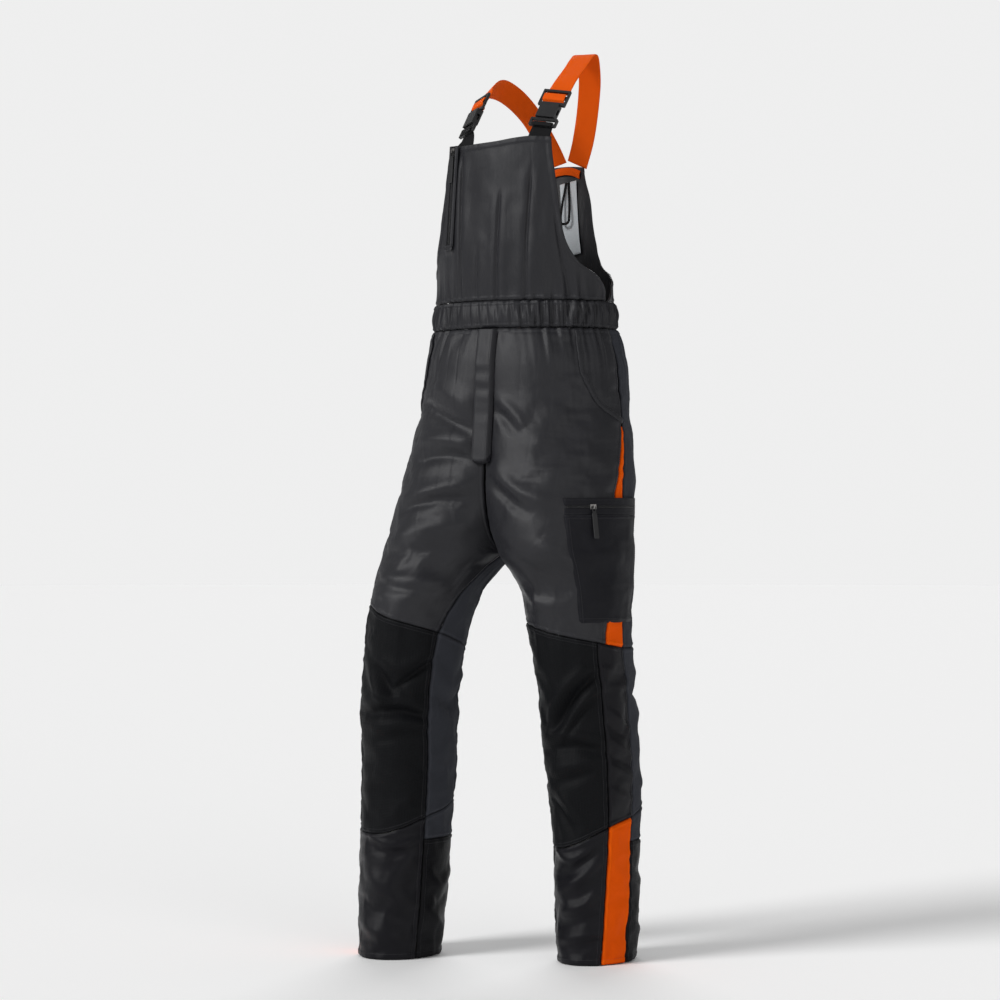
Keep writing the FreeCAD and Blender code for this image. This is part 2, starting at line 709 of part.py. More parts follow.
def orient(body, origin, wide, inward, up):
    """Places a body with its x, y and z along three directions."""
    turn = FreeCAD.Matrix(wide.x, inward.x, up.x, 0, wide.y, inward.y, up.y, 0, wide.z, inward.z, up.z, 0,
                          0, 0, 0, 1)
    body.Placement = WAIST.multiply(FreeCAD.Placement(origin, FreeCAD.Placement(turn).Rotation))


def round_edges(body, feature, radius, chosen):
    """Rounds those edges of a feature that chosen(edge) picks."""
    names = [f"Edge{k}" for k, edge in enumerate(feature.Shape.Edges, start=1) if chosen(edge)]
    fillet = body.newObject("PartDesign::Fillet", feature.Name + "Round")
    fillet.Base = (feature, names)
    fillet.setExpression("Radius", radius)
    doc.recompute()
    return fillet


def runs_through(edge):
    """Whether an edge is straight and runs through the part, from front to back."""
    ends = [v.Point for v in edge.Vertexes]
    return len(ends) == 2 and abs(ends[0].x - ends[1].x) < 0.01 and abs(ends[0].z - ends[1].z) < 0.01


def make_buckle_body(name):
    """The socket half, with the ladder that the strap is adjusted on."""
    body = new_body(f"{name}_buckle_body")
    d = "Dims."
    block(body, "Pad", "Socket", d + "body_width", d + "body_length", d + "body_thick", up=d + "body_length / 2")
    ladder = block(body, "Pad", "Ladder", d + "ladder_width", d + "ladder_length + 2", d + "ladder_thick",
                   up=d + "body_length + " + d + "ladder_length / 2 - 1")
    round_edges(body, ladder, d + "edge_round", lambda e: runs_through(e) and abs(e.Vertexes[0].Z) > 1)
    block(body, "Pocket", "Hollow", d + "body_hollow", d + "hollow_depth * 2", d + "hollow_thick")
    block(body, "Pocket", "Windows", d + "body_width + 8", d + "window_length", d + "hollow_thick - 1.4",
          up=d + "window_foot + " + d + "window_length / 2")
    for k, sign in enumerate(("+", "-")):
        block(body, "Pocket", f"Slot{k}", d + "slot_width", d + "slot_height", d + "ladder_thick * 3",
              up=f"{d}body_length + {d}ladder_length / 2 {sign} {d}slot_pitch / 2")
    orient(body, *buckle_axes(name))


def make_buckle_tongue(name):
    """The plug half: the ring for the tab, a guide and two springy prongs with barbs."""
    body = new_body(f"{name}_buckle_tongue")
    d = "Dims."
    ring = block(body, "Pad", "Ring", d + "ring_width", d + "ring_length", d + "ring_thick",
                 up="-" + d + "ring_length / 2 - Dims.mouth_gap")
    round_edges(body, ring, d + "edge_round * 2", runs_through)
    block(body, "Pocket", "RingSlot", d + "slot_width", d + "ring_slot", d + "ring_thick * 3",
          up="-" + d + "ring_length / 2 - Dims.mouth_gap")
    block(body, "Pad", "Guide", d + "guide_width", d + "prong_length + 3", d + "tongue_thick",
          up=d + "prong_length / 2 - 1.5")
    for k, sign in enumerate(("", "-")):
        block(body, "Pad", f"Prong{k}", d + "prong_width", d + "prong_length + 3", d + "tongue_thick",
              across=f"{sign}{d}prong_spread / 2", up=d + "prong_length / 2 - 1.5")
        block(body, "Pad", f"Barb{k}", d + "barb_width + 1", d + "barb_length", d + "tongue_thick",
              across=f"{sign}({d}prong_spread / 2 + {d}prong_width / 2 + {d}barb_width / 2 - 0.5)",
              up=d + "window_foot + 1 + " + d + "barb_length / 2")
    orient(body, *buckle_axes(name))


def box(label, size, middle):
    """A block whose size and middle, along x, y and z, are expressions."""
    part = doc.addObject("Part::Box", label)
    for side, axis, length, centre in zip(("Length", "Width", "Height"), "xyz", size, middle):
        part.setExpression(side, length)
        part.setExpression(f"Placement.Base.{axis}", f"({centre}) - ({length}) / 2")
    return part


def fused(label, parts):
    if len(parts) == 1:
        return parts[0]
    whole = doc.addObject("Part::MultiFuse", label)
    whole.Shapes = parts
    return whole


def cut(label, base, tools):
    whole = doc.addObject("Part::Cut", label)
    whole.Base = base
    whole.Tool = fused(label + "_tool", tools)
    return whole


def keep(part, label, axes):
    """Names a finished solid, and puts it where its own axes lie."""
    part.Label = label
    orient(part, *axes)
    made.append(part)


def make_straight_zip(name, length, axes):
    """A zip's tape with its coil. Its z runs along the zip, and its y inwards."""
    tape = box(f"{name}_tape", ("Dims.tape_width", "Dims.tape", length), ("0", "0", "0"))
    coil = box(f"{name}_coil", ("Dims.coil_width", "Dims.coil", f"{length} - 4"), ("0", "0", "0"))
    slit = box(f"{name}_slit", ("Dims.zip_slit", "9", f"{length} - 6"), ("0", "0", "0"))
    keep(cut(f"{name}_zip", fused(f"{name}_whole_zip", [tape, coil]), [slit]), f"{name}_zip_tape", axes)


def make_slider(name, axes, bail=None):
    """A slider round the coil. Its z runs along the zip, and bail is the axis of the eye for its pull: x or z."""
    d = "Dims."
    face = "-(Dims.slider_thick / 2)"
    slab = box(f"{name}_slab", (d + "slider_width", d + "slider_thick", d + "slider_length"), ("0", "0", "0"))
    solids = [slab]
    holes = [
        box(f"{name}_channel", (d + "coil_width + 2 * Dims.zip_play", d + "coil + 2 * Dims.zip_play", "40"),
            ("0", "0", "0")),
        box(f"{name}_gap", ("40", d + "tape + 2 * Dims.zip_play", "40"), ("0", "0", "0")),
    ]
    rib = box(f"{name}_rib", (d + "bail_width / 2", d + "slider_thick", "3"), ("0", "0", "Dims.slider_length / 2 - 1"))
    if bail:
        eye_high, eye_long = d + "bail_height - Dims.bail_wall", d + "bail_length - 2 * Dims.bail_wall"
        across, along = (d + "bail_width", d + "bail_length") if bail == "x" else (d + "bail_length", d + "bail_width")
        open_x, open_z = ("20", eye_long) if bail == "x" else (eye_long, "20")
        solids.append(box(f"{name}_bail", (across, d + "bail_height + 0.5", along),
                          ("0", face + " - Dims.bail_height / 2 + 0.25", "0")))
        holes.append(box(f"{name}_eye", (open_x, eye_high, open_z), ("0", face + f" - ({eye_high}) / 2", "0")))
    whole = fused(f"{name}_whole", solids)
    opened = cut(f"{name}_opened", whole, holes)
    keep(fused(f"{name}_slider_solid", [opened, rib]), f"{name}_zip_slider", axes)


def make_pull(name, axes):
    """A pull on its slider's bail. Its own origin is the hinge, and it hangs down its -z. Its y is inwards."""
    d = "Dims."
    plate = box(f"{name}_plate", (d + "pull_width", d + "pull_thick", d + "pull_reach"),
                ("0", "0", "Dims.pull_bar / 2 - Dims.pull_reach / 2"))
    window = box(f"{name}_window", (d + "pull_window", "9", d + "pull_reach / 2"),
                 ("0", "0", "-Dims.pull_bar / 2 - Dims.pull_reach / 4"))
    grip = box(f"{name}_grip_block", (d + "grip_width", d + "grip_thick", d + "grip_length"),
               ("0", "0", "-(Dims.pull_reach) - Dims.grip_length / 2 + 3"))
    rounded = doc.addObject("Part::Fillet", f"{name}_grip")
    rounded.Base = grip
    doc.recompute()
    rounded.Edges = [(k, 1.0, 1.0) for k in range(1, 13)]
    keep(fused(f"{name}_pull_solid", [cut(f"{name}_frame", plate, [window]), rounded]), f"{name}_zip_pull", axes)


def torso_normal(height, angle):
    """The outward direction of the upper body's surface, level."""
    along = torso_point(height, angle + 1, 0) - torso_point(height, angle - 1, 0)
    return V(along.y, -along.x, 0).normalize()


# The chest zip runs down the wearer's right of the bib, and its slider rests at the top.
ZIP_LIFT = dim("slider_thick") / 2 + 2.4
CHEST_ZIP_X, CHEST_ZIP_FOOT = 86.0, 1194.0


def chest_mark(height):
    angle = -math.degrees(math.asin(CHEST_ZIP_X / smooth(TORSO_ROWS, height)[2]))
    return torso_point(height, angle, 0) + torso_normal(height, angle) * ZIP_LIFT, torso_normal(height, angle)


def zip_axes(low, high, outward, share):
    """Origin and axes of something at a share of the way up a zip."""
    up = (high - low).normalize()
    inward = (-outward + up * outward.dot(up)).normalize()
    return low + (high - low) * share, inward.cross(up), inward, up


def add_chest_zip():
    low, outward = chest_mark(CHEST_ZIP_FOOT)
    high, _ = chest_mark(CHEST_ZIP_FOOT + dim("chest_zip_length"))
    make_straight_zip("chest", "Dims.chest_zip_length", zip_axes(low, high, outward, 0.5))
    axes = zip_axes(low, high, outward, 0.94)
    make_slider("chest", axes, "x")
    origin, wide, inward, up = axes
    make_pull("chest", (origin + inward * -EYE_OUT, wide, inward, up))


def add_fly_zip():
    """The fly's zip is hidden under the placket, and its slider has no pull there."""
    middle, top = (FLY_FROM + FLY_TO) / 2, dim("fly_zip_top")
    foot = top - dim("fly_zip_length")
    out = dim("slider_thick") / 2 + 2.4
    low, high = (V(middle, belly_y(12.0, h) - out, h) for h in (foot, top))
    make_straight_zip("fly", "Dims.fly_zip_length", zip_axes(low, high, V(0, -1, 0), 0.5))
    make_slider("fly", zip_axes(low, high, V(0, -1, 0), 0.91))


def add_thigh_slider():
    """The slider rests near the front end of the band, and its pull hangs down clear of the pocket."""
    bearing_at = ZIP_START + SLIDER_FROM_END
    origin = on_circle(ZIP_HEIGHT, bearing_at, 0)
    outward = (origin - V(ZIP_CENTRE.x, ZIP_CENTRE.y, ZIP_HEIGHT)).normalize()
    down, along = V(0, 0, -1), V(0, 0, 1).cross(outward)
    make_slider("thigh", (origin, down, -outward, down.cross(-outward)), "z")
    up = (V(0, 0, 1) - outward * PULL_TILT).normalize()
    make_pull("thigh", (origin + outward * EYE_OUT, along, up.cross(along), up))


EYE_OUT = dim("slider_thick") / 2 + (dim("bail_height") - dim("bail_wall")) / 2


# ---------------------------------------------------------------------------------------------------------
# Label and hanger
# ---------------------------------------------------------------------------------------------------------


def back_inside(height, x, lift):
    """A point inside the back, lift in from its lining side, at a height and an x."""
    _, lean, _, _, _, back_half, _, _ = smooth(TORSO_ROWS, height)
    angle = 180 - math.degrees(math.asin((x - lean) / back_half))
    return torso_point(height, angle, BIB_THICK + lift)


LABEL_X, LABEL_LIFT = 20.0, 4.0
HANG_TOP = YOKE_FOOT - 5.0


def add_label():
    """A flat woven label that hangs from the yoke's seam and slants a little."""
    slope = dim("label_slant") / dim("label_length")
    path = []
    for h in heights(HANG_TOP - dim("label_length"), HANG_TOP):
        x = LABEL_X + slope * (HANG_TOP - h)
        across = back_inside(h, x + 10, LABEL_LIFT) - back_inside(h, x - 10, LABEL_LIFT)
        path.append((back_inside(h, x, LABEL_LIFT), across + V(0, 0, across.x * slope)))
    add_cloth("care_label", ribbon(path, dim("label_width"), dim("label")))


def add_hanger_loop():
    """A loop of narrow tape in front of the label, round at its lower end."""
    half, band = dim("loop_width") / 2, dim("loop_band")
    top, foot = HANG_TOP, HANG_TOP - dim("loop_length")
    hung = back_inside(top, LABEL_X, LABEL_LIFT + 1.6)
    low = back_inside(foot, LABEL_X + 8, LABEL_LIFT + 11)
    frame_up = (hung - low).normalize()
    across = (V(1, 0, 0) - frame_up * frame_up.x).normalize()

    def at(x, z):
        return hung + across * x - frame_up * z

    length = (hung - low).Length

    def ring(grow):
        r = half - grow
        neck = band * 0.6 - grow * 0.5
        left, right = at(-r, length - half), at(r, length - half)
        return Part.Wire([
            Part.LineSegment(at(-neck, grow), left).toShape(),
            Part.Arc(left, at(0, length - half + r), right).toShape(),
            Part.LineSegment(right, at(neck, grow)).toShape(),
            Part.LineSegment(at(neck, grow), at(-neck, grow)).toShape(),
        ])

    thick = across.cross(frame_up) * 1.6
    whole = Part.Face(ring(0.0)).extrude(thick)
    add_cloth("hanger_loop", whole.cut(Part.Face(ring(band * 0.75)).extrude(thick)))


# ---------------------------------------------------------------------------------------------------------
# Build
# ---------------------------------------------------------------------------------------------------------

for name in ("left", "right"):
    add_strap(name)
    add_tab(name)
    make_buckle_body(name)
    make_buckle_tongue(name)

add_chest_zip()
add_fly_zip()
add_thigh_slider()
add_label()
add_hanger_loop()

doc.recompute()
os.makedirs("parts", exist_ok=True)
for part in made:
    if "Invalid" in part.State or "Error" in part.State:
        raise SystemExit(f"{part.Label} failed: {part.State}")
    if part.Shape.isNull() or not part.Shape.isValid() or part.Shape.Volume <= 0:
        raise SystemExit(f"{part.Label} has no valid shape")
    part.Shape.exportStep(f"parts/{part.Label}.step")
    print(part.Label, round(part.Shape.Volume), len(part.Shape.Solids), flush=True)
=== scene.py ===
import math

import bpy
import numpy as np
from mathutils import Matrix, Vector


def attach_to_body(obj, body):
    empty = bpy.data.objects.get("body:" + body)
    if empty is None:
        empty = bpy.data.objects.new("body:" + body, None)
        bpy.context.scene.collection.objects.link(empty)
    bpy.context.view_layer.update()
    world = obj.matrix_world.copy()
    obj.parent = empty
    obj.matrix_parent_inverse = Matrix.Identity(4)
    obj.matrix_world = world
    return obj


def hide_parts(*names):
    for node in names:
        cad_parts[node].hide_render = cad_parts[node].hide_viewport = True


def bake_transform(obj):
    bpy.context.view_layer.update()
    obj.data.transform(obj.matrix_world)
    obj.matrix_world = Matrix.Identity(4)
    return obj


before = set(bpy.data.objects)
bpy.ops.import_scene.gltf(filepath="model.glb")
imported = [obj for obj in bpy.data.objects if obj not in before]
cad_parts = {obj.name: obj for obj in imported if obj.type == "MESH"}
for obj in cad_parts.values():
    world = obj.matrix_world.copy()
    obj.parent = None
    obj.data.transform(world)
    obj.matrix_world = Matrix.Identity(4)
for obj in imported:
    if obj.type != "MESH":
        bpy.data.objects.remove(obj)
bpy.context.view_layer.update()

# Looks of a bib-and-brace work overall. Every soft panel is a fine grid on the same surface as the CAD:
# heights here are in mm above the hem, and WAIST takes them to the frame's origin at the middle of the waist.

WAIST = 1077.0
LEFT, RIGHT = 1, -1
NAMES = {LEFT: "left", RIGHT: "right"}
# Heights of the knee's bend, of the point where the legs part, of the orange wedge's tip and of the band.
KNEE_HEAD, KNEE_MIDDLE, KNEE_FOOT = 545.0, 440.0, 335.0
CROTCH, WEDGE_TIP = 683.0, 890.0
BAND_FOOT, BAND_HEAD = 1054.0, 1100.0

# ---------------------------------------------------------------------------------------------------------
# Camera, light and floor
# ---------------------------------------------------------------------------------------------------------


def make_stage():
    scene = bpy.context.scene
    camera = bpy.data.objects.new("camera", bpy.data.cameras.new("camera"))
    camera.data.sensor_width = 36.0
    camera.data.lens = 105.9
    camera.data.clip_end = 60.0
    camera.location = (2.4632, -4.3514, -0.309)
    camera.rotation_euler = (math.radians(90), 0, math.radians(30))
    scene.collection.objects.link(camera)
    scene.camera = camera
    scene.view_settings.view_transform = "Standard"

    world = bpy.data.worlds.new("studio")
    scene.world = world
    world.use_nodes = True
    world.node_tree.nodes["Background"].inputs["Color"].default_value = (1, 1, 1, 1)
    world.node_tree.nodes["Background"].inputs["Strength"].default_value = 0.26

    def sun(name, where, strength, spread):
        """A soft light from a direction. Its size is an angle, so that it falls off nowhere on the floor."""
        lamp = bpy.data.objects.new(name, bpy.data.lights.new(name, "SUN"))
        lamp.data.energy = strength
        lamp.data.angle = math.radians(spread)
        lamp.rotation_euler = (-Vector(where)).to_track_quat("-Z", "Y").to_euler()
        scene.collection.objects.link(lamp)

    sun("key", (-0.55, -1.0, 0.75), 2.1, 22)
    sun("fill", (1.2, -0.75, 0.35), 0.5, 40)
    sun("back", (-0.5, 1.0, 0.7), 1.2, 40)

    # A pale shell round the scene that only the camera sees, so that the background is as light as the floor.
    dome = bpy.data.objects.new("backdrop", bpy.data.meshes.new("backdrop"))
    around, up = 48, 24
    tilts = [math.pi * (j / up - 0.5) * 0.999 for j in range(up + 1)]
    points = [(24 * math.cos(k * math.tau / around) * math.cos(v),
               24 * math.sin(k * math.tau / around) * math.cos(v), 24 * math.sin(v))
              for v in tilts for k in range(around)]
    quads = [(j * around + k, j * around + (k + 1) % around,
              (j + 1) * around + (k + 1) % around, (j + 1) * around + k)
             for j in range(up) for k in range(around)]
    dome.data.from_pydata(points, [], quads)
    scene.collection.objects.link(dome)
    glow = bpy.data.materials.new("backdrop")
    glow.use_nodes = True
    glow.node_tree.nodes["Principled BSDF"].inputs["Base Color"].default_value = (0, 0, 0, 1)
    glow.node_tree.nodes["Principled BSDF"].inputs["Specular IOR Level"].default_value = 0.0
    glow.node_tree.nodes["Principled BSDF"].inputs["Emission Color"].default_value = (1, 1, 1, 1)
    glow.node_tree.nodes["Principled BSDF"].inputs["Emission Strength"].default_value = 0.86
    dome.data.materials.append(glow)
    for ray in ("diffuse", "glossy", "transmission", "shadow", "volume_scatter"):
        setattr(dome, "visible_" + ray, False)

    rim = 64
    mesh = bpy.data.meshes.new("floor")
    ring = [(22 * math.cos(k * math.tau / rim), 22 * math.sin(k * math.tau / rim), -WAIST / 1000 - 0.0015)
            for k in range(rim)]
    mesh.from_pydata(ring, [], [tuple(range(rim))])
    floor = bpy.data.objects.new("floor", mesh)
    scene.collection.objects.link(floor)
    paint = bpy.data.materials.new("floor")
    paint.use_nodes = True
    shader = paint.node_tree.nodes["Principled BSDF"]
    shader.inputs["Base Color"].default_value = (0.98, 0.98, 0.98, 1)
    shader.inputs["Roughness"].default_value = 0.9
    shader.inputs["Specular IOR Level"].default_value = 0.1
    mesh.materials.append(paint)


make_stage()

# ---------------------------------------------------------------------------------------------------------
# Materials
# ---------------------------------------------------------------------------------------------------------


class Nodes:
    """Adds shader nodes, one call for each."""

    def __init__(self, name, **sockets):
        self.material = bpy.data.materials.new(name)
        self.material.use_nodes = True
        self.tree = self.material.node_tree
        self.shader = self.tree.nodes["Principled BSDF"]
        for socket, value in sockets.items():
            self.shader.inputs[socket.replace("_", " ")].default_value = value

    def add(self, kind, settings=None, **inputs):
        node = self.tree.nodes.new(kind)
        for key, value in (settings or {}).items():
            setattr(node, key, value)
        for key, value in inputs.items():
            socket = node.inputs[int(key[1:])] if key[0] == "i" and key[1:].isdigit() else node.inputs[key]
            self.put(socket, value)
        return node

    def put(self, socket, value):
        if isinstance(value, bpy.types.NodeSocket):
            self.tree.links.new(value, socket)
        else:
            socket.default_value = value

    def maths(self, operation, a, b, clamp=False):
        node = self.add("ShaderNodeMath", {"operation": operation, "use_clamp": clamp}, i0=a, i1=b)
        return node.outputs[0]

    def uv(self, turn=0.0, scale=(1, 1, 1)):
        """The cloth's own flat coordinates, in metres, turned and scaled."""
        where = self.add("ShaderNodeUVMap", {"uv_map": "flat"}).outputs[0]
        node = self.add("ShaderNodeMapping", Vector=where)
        node.inputs["Rotation"].default_value = (0, 0, math.radians(turn))
        node.inputs["Scale"].default_value = scale
        return node.outputs[0]

    def bands(self, pitch, turn=0.0, wobble=0.0):
        """Even ribs, pitch metres apart, from 0 to 1."""
        node = self.add("ShaderNodeTexWave", {"wave_type": "BANDS", "bands_direction": "X",
                                              "wave_profile": "SIN"}, Vector=self.uv(turn),
                        Scale=0.314 / pitch, Distortion=wobble, Detail=1.0)
        return node.outputs["Fac"]

    def noise(self, scale, detail=3.0, stretch=(1, 1, 1)):
        node = self.add("ShaderNodeTexNoise", Vector=self.uv(0, stretch), Scale=scale, Detail=detail)
        return node.outputs["Fac"]

    def ramp(self, value, low, high):
        """Takes 0..1 to low..high."""
        node = self.add("ShaderNodeMapRange", Value=value)
        node.inputs["To Min"].default_value = low
        node.inputs["To Max"].default_value = high
        return node.outputs[0]

    def mix(self, share, a, b, blend="MIX"):
        node = self.add("ShaderNodeMix", {"data_type": "RGBA", "blend_type": blend})
        self.put(node.inputs[0], share)
        self.put(node.inputs[6], a)
        self.put(node.inputs[7], b)
        return node.outputs[2]

    def bump(self, height, strength, distance, under=None):
        node = self.add("ShaderNodeBump", Height=height, Strength=strength, Distance=distance)
        if under is not None:
            self.put(node.inputs["Normal"], under)
        return node.outputs[0]


def shade(colour, k):
    return tuple(min(c * k, 1.0) for c in colour) + (1,)


def cloth(name, colour, rough, weave, pitch, depth=0.25, mottle=0.12, sheen=0.25, specular=0.35):
    """Woven cloth: weave is twill, plain, rip or knit, pitch the thread spacing in metres."""
    n = Nodes(name, Roughness=rough, Sheen_Weight=sheen, Sheen_Roughness=0.5, Specular_IOR_Level=specular,
              Sheen_Tint=(0.75, 0.78, 0.85, 1))
    if weave == "twill":
        threads = n.bands(pitch, 58, 0.4)
        fine = n.bands(pitch * 0.55, -8, 0.3)
        height = n.maths("ADD", n.maths("MULTIPLY", threads, 0.7), n.maths("MULTIPLY", fine, 0.3))
    elif weave == "knit":
        threads = n.bands(pitch, 0, 0.6)
        fine = n.bands(pitch * 0.7, 90, 0.6)
        height = n.maths("MULTIPLY", threads, fine)
    else:
        threads = n.bands(pitch, 0, 0.25)
        fine = n.bands(pitch, 90, 0.25)
        height = n.maths("ADD", n.maths("MULTIPLY", threads, 0.5), n.maths("MULTIPLY", fine, 0.5))
    if weave == "rip":
        # Thicker threads stand up in a grid of small squares.
        across = n.maths("POWER", n.bands(0.0052, 0), 14.0)
        along = n.maths("POWER", n.bands(0.0046, 90), 14.0)
        grid = n.maths("MAXIMUM", across, along)
        height = n.maths("ADD", n.maths("MULTIPLY", height, 0.4), grid)
    broad = n.noise(16.0, 3.0)
    slub = n.noise(420.0, 2.0, (0.25, 1.6, 1))
    tone = n.mix(n.ramp(broad, 0.2, 0.8), shade(colour, 1 - mottle), shade(colour, 1 + mottle))
    tone = n.mix(n.ramp(slub, 0.0, 0.35), tone, shade(colour, 1.45))
    # Painted shade: the weave's low threads and the gaps between threads are painted darker.
    tone = n.mix(n.ramp(height, 0.35, 0.0), tone, shade(colour, 0.45))
    # The seam attribute is above 0 on a seam's ridge, which wears lighter in patches, and below 0 in its
    # groove, which is painted shade.
    seam_wear_and_shade = n.add("ShaderNodeAttribute", {"attribute_name": "seam"}).outputs["Fac"]
    rub = n.maths("MULTIPLY", n.maths("MAXIMUM", seam_wear_and_shade, 0.0), n.ramp(n.noise(90.0, 4.0), 0.1, 0.9))
    painted_groove_shade = n.maths("MULTIPLY", n.maths("MAXIMUM", n.maths("MULTIPLY", seam_wear_and_shade, -1.0), 0.0), 0.75)
    tone = n.mix(n.maths("MULTIPLY", rub, 0.35), tone, shade(colour, 1.9))
    # Painted shade: the seams' grooves are painted darker.
    tone = n.mix(painted_groove_shade, tone, shade(colour, 0.3))
    n.put(n.shader.inputs["Base Color"], tone)
    n.put(n.shader.inputs["Roughness"], n.maths("ADD", n.ramp(slub, rough - 0.05, rough + 0.05),
                                                n.maths("MULTIPLY", rub, 0.12), True))
    coarse = n.bump(n.noise(55.0, 4.0), 0.22, 0.0012)
    n.put(n.shader.inputs["Normal"], n.bump(height, depth, pitch * 0.45, coarse))
    return n.material


def webbing(name, colour):
    """Elastic webbing: ribs along its length, crossed by short weft threads."""
    n = Nodes(name, Roughness=0.6, Sheen_Weight=0.01, Sheen_Roughness=0.5, Specular_IOR_Level=0.06)
    ribs = n.bands(0.0022, 0)
    weft = n.bands(0.0011, 90, 0.2)
    slant = n.bands(0.0032, 45, 0.0)
    height = n.maths("ADD", n.maths("MULTIPLY", ribs, 0.5), n.maths("MULTIPLY", weft, 0.3))
    height = n.maths("ADD", height, n.maths("MULTIPLY", slant, 0.3))
    # Painted shade: the hollows between the ribs and threads are painted darker.
    tone = n.mix(n.ramp(height, 0.55, 0.0), shade(colour, 1.0), shade(colour, 0.62))
    tone = n.mix(n.ramp(n.noise(60.0), 0.0, 0.3), tone, shade(colour, 0.8))
    n.put(n.shader.inputs["Base Color"], tone)
    n.put(n.shader.inputs["Roughness"], n.ramp(n.noise(300.0), 0.54, 0.66))
    n.put(n.shader.inputs["Normal"], n.bump(height, 0.5, 0.0007))
    return n.material


def moulded(name, colour, rough, metal=0.0, grain=0.0002):
    """Moulded plastic, rubber or metal. CAD nodes have no flat coordinates, so this uses their own space."""
    n = Nodes(name, Metallic=metal, Specular_IOR_Level=0.5)
    where = n.add("ShaderNodeTexCoord").outputs["Object"]
    fine = n.add("ShaderNodeTexNoise", Vector=where, Scale=2600.0, Detail=2.0).outputs["Fac"]
    broad = n.add("ShaderNodeTexNoise", Vector=where, Scale=120.0, Detail=4.0).outputs["Fac"]
    scuffs = n.add("ShaderNodeTexNoise", Vector=where, Scale=420.0, Detail=5.0, Distortion=1.2).outputs["Fac"]
    worn = n.ramp(n.maths("POWER", scuffs, 4.0), 0.0, 1.0)
    tone = n.mix(n.ramp(broad, 0.0, 0.6), shade(colour, 0.85), shade(colour, 1.25))
    tone = n.mix(worn, tone, shade(colour, 2.2))
    n.put(n.shader.inputs["Base Color"], tone)
    n.put(n.shader.inputs["Roughness"], n.maths("ADD", n.ramp(broad, rough - 0.07, rough + 0.07),
                                                n.maths("MULTIPLY", worn, 0.3), True))
    n.put(n.shader.inputs["Normal"], n.bump(fine, 0.35, grain))
    return n.material


def thread(name, colour):
    n = Nodes(name, Sheen_Weight=0.03, Specular_IOR_Level=0.3)
    twist = n.bands(0.0006, 35)
    # Painted light and shade: the twist is painted lighter on its crests and darker in its grooves.
    n.put(n.shader.inputs["Base Color"], n.mix(twist, shade(colour, 0.7), shade(colour, 1.2)))
    n.put(n.shader.inputs["Roughness"], n.ramp(n.noise(500.0), 0.42, 0.6))
    n.put(n.shader.inputs["Normal"], n.bump(twist, 0.4, 0.0001))
    return n.material


MATERIALS = {
    "shell_twill": cloth("shell_twill", (0.0135, 0.0135, 0.0165), 0.42, "twill", 0.0011, 0.25, sheen=0.03,
                         specular=0.3),
    "shin_twill": cloth("shin_twill", (0.0048, 0.0046, 0.0066), 0.4, "twill", 0.0011, 0.25, sheen=0.01,
                        specular=0.15),
    "stretch_grey": cloth("stretch_grey", (0.038, 0.040, 0.048), 0.8, "knit", 0.0012, 0.3, sheen=0.03,
                          specular=0.06),
    "knee_ripstop": cloth("knee_ripstop", (0.0054, 0.0057, 0.0066), 0.5, "rip", 0.0009, 0.5, sheen=0.01,
                          specular=0.07),
    "kick_ripstop": cloth("kick_ripstop", (0.0042, 0.0042, 0.0054), 0.45, "rip", 0.0009, 0.4, sheen=0.01,
                          specular=0.1),
    "pocket_twill": cloth("pocket_twill", (0.0088, 0.0088, 0.0115), 0.52, "twill", 0.0012, 0.25, sheen=0.02,
                          specular=0.12),
    "signal_orange": cloth("signal_orange", (0.82, 0.092, 0.0015), 0.6, "plain", 0.001, 0.25, 0.05, sheen=0.0,
                           specular=0.04),
    "orange_webbing": webbing("orange_webbing", (0.84, 0.105, 0.003)),
    "black_webbing": webbing("black_webbing", (0.012, 0.012, 0.013)),
    "black_plastic": moulded("black_plastic", (0.010, 0.010, 0.011), 0.36),
    "zip_tape": cloth("zip_tape", (0.0085, 0.0085, 0.0095), 0.7, "plain", 0.0008, 0.4, sheen=0.04,
                      specular=0.2),
    "zip_metal": moulded("zip_metal", (0.32, 0.31, 0.30), 0.32, 1.0, 0.00008),
    "zip_coil": moulded("zip_coil", (0.012, 0.012, 0.014), 0.3),
    "pull_rubber": moulded("pull_rubber", (0.008, 0.008, 0.009), 0.5),
    "cut_pad": cloth("cut_pad", (0.42, 0.42, 0.36), 0.85, "knit", 0.002, 0.4, sheen=0.1),
    "lining": cloth("lining", (0.012, 0.012, 0.014), 0.7, "knit", 0.0016, 0.4, sheen=0.05, specular=0.2),
    "label_grey": cloth("label_grey", (0.60, 0.64, 0.67), 0.5, "plain", 0.0007, 0.15, 0.06, sheen=0.05),
    "thread_grey": thread("thread_grey", (0.022, 0.022, 0.026)),
    "thread_orange": thread("thread_orange", (0.62, 0.07, 0.006)),
}

# ---------------------------------------------------------------------------------------------------------
# The garment's surface, as in the CAD
# ---------------------------------------------------------------------------------------------------------

# Height, left leg's middle x and y, right leg's middle x and y, left and right half width, half depth.
LEG_ROWS = [
    (0, 139.5, -2, 180, -111, 60, 64, 81), (107, 138.5, 0, 176, -107, 65, 70, 86),
    (209, 138.5, -2, 172, -104, 67, 72, 88), (311, 138, -11, 165, -107, 73, 75, 92),
    (430, 133, -23, 156, -120, 76, 76, 93), (515, 128, -34, 145, -122, 79, 79, 96),
    (592, 122, -36, 130, -116, 85, 84, 103), (650, 113, -33, 115, -98, 94, 93, 112),
    (683, 104, -36, 104, -80, 104, 104, 120), (770, 82, -30, 82, -41, 123, 123, 130),
    (847, 60, -13, 60, -13, 136, 136, 136), (923, 35, 0, 35, 0, 150, 150, 136),
    (1000, 15, 4, 15, 4, 161, 161, 134), (1054, 0, 0, 0, 0, 164, 164, 120),
]

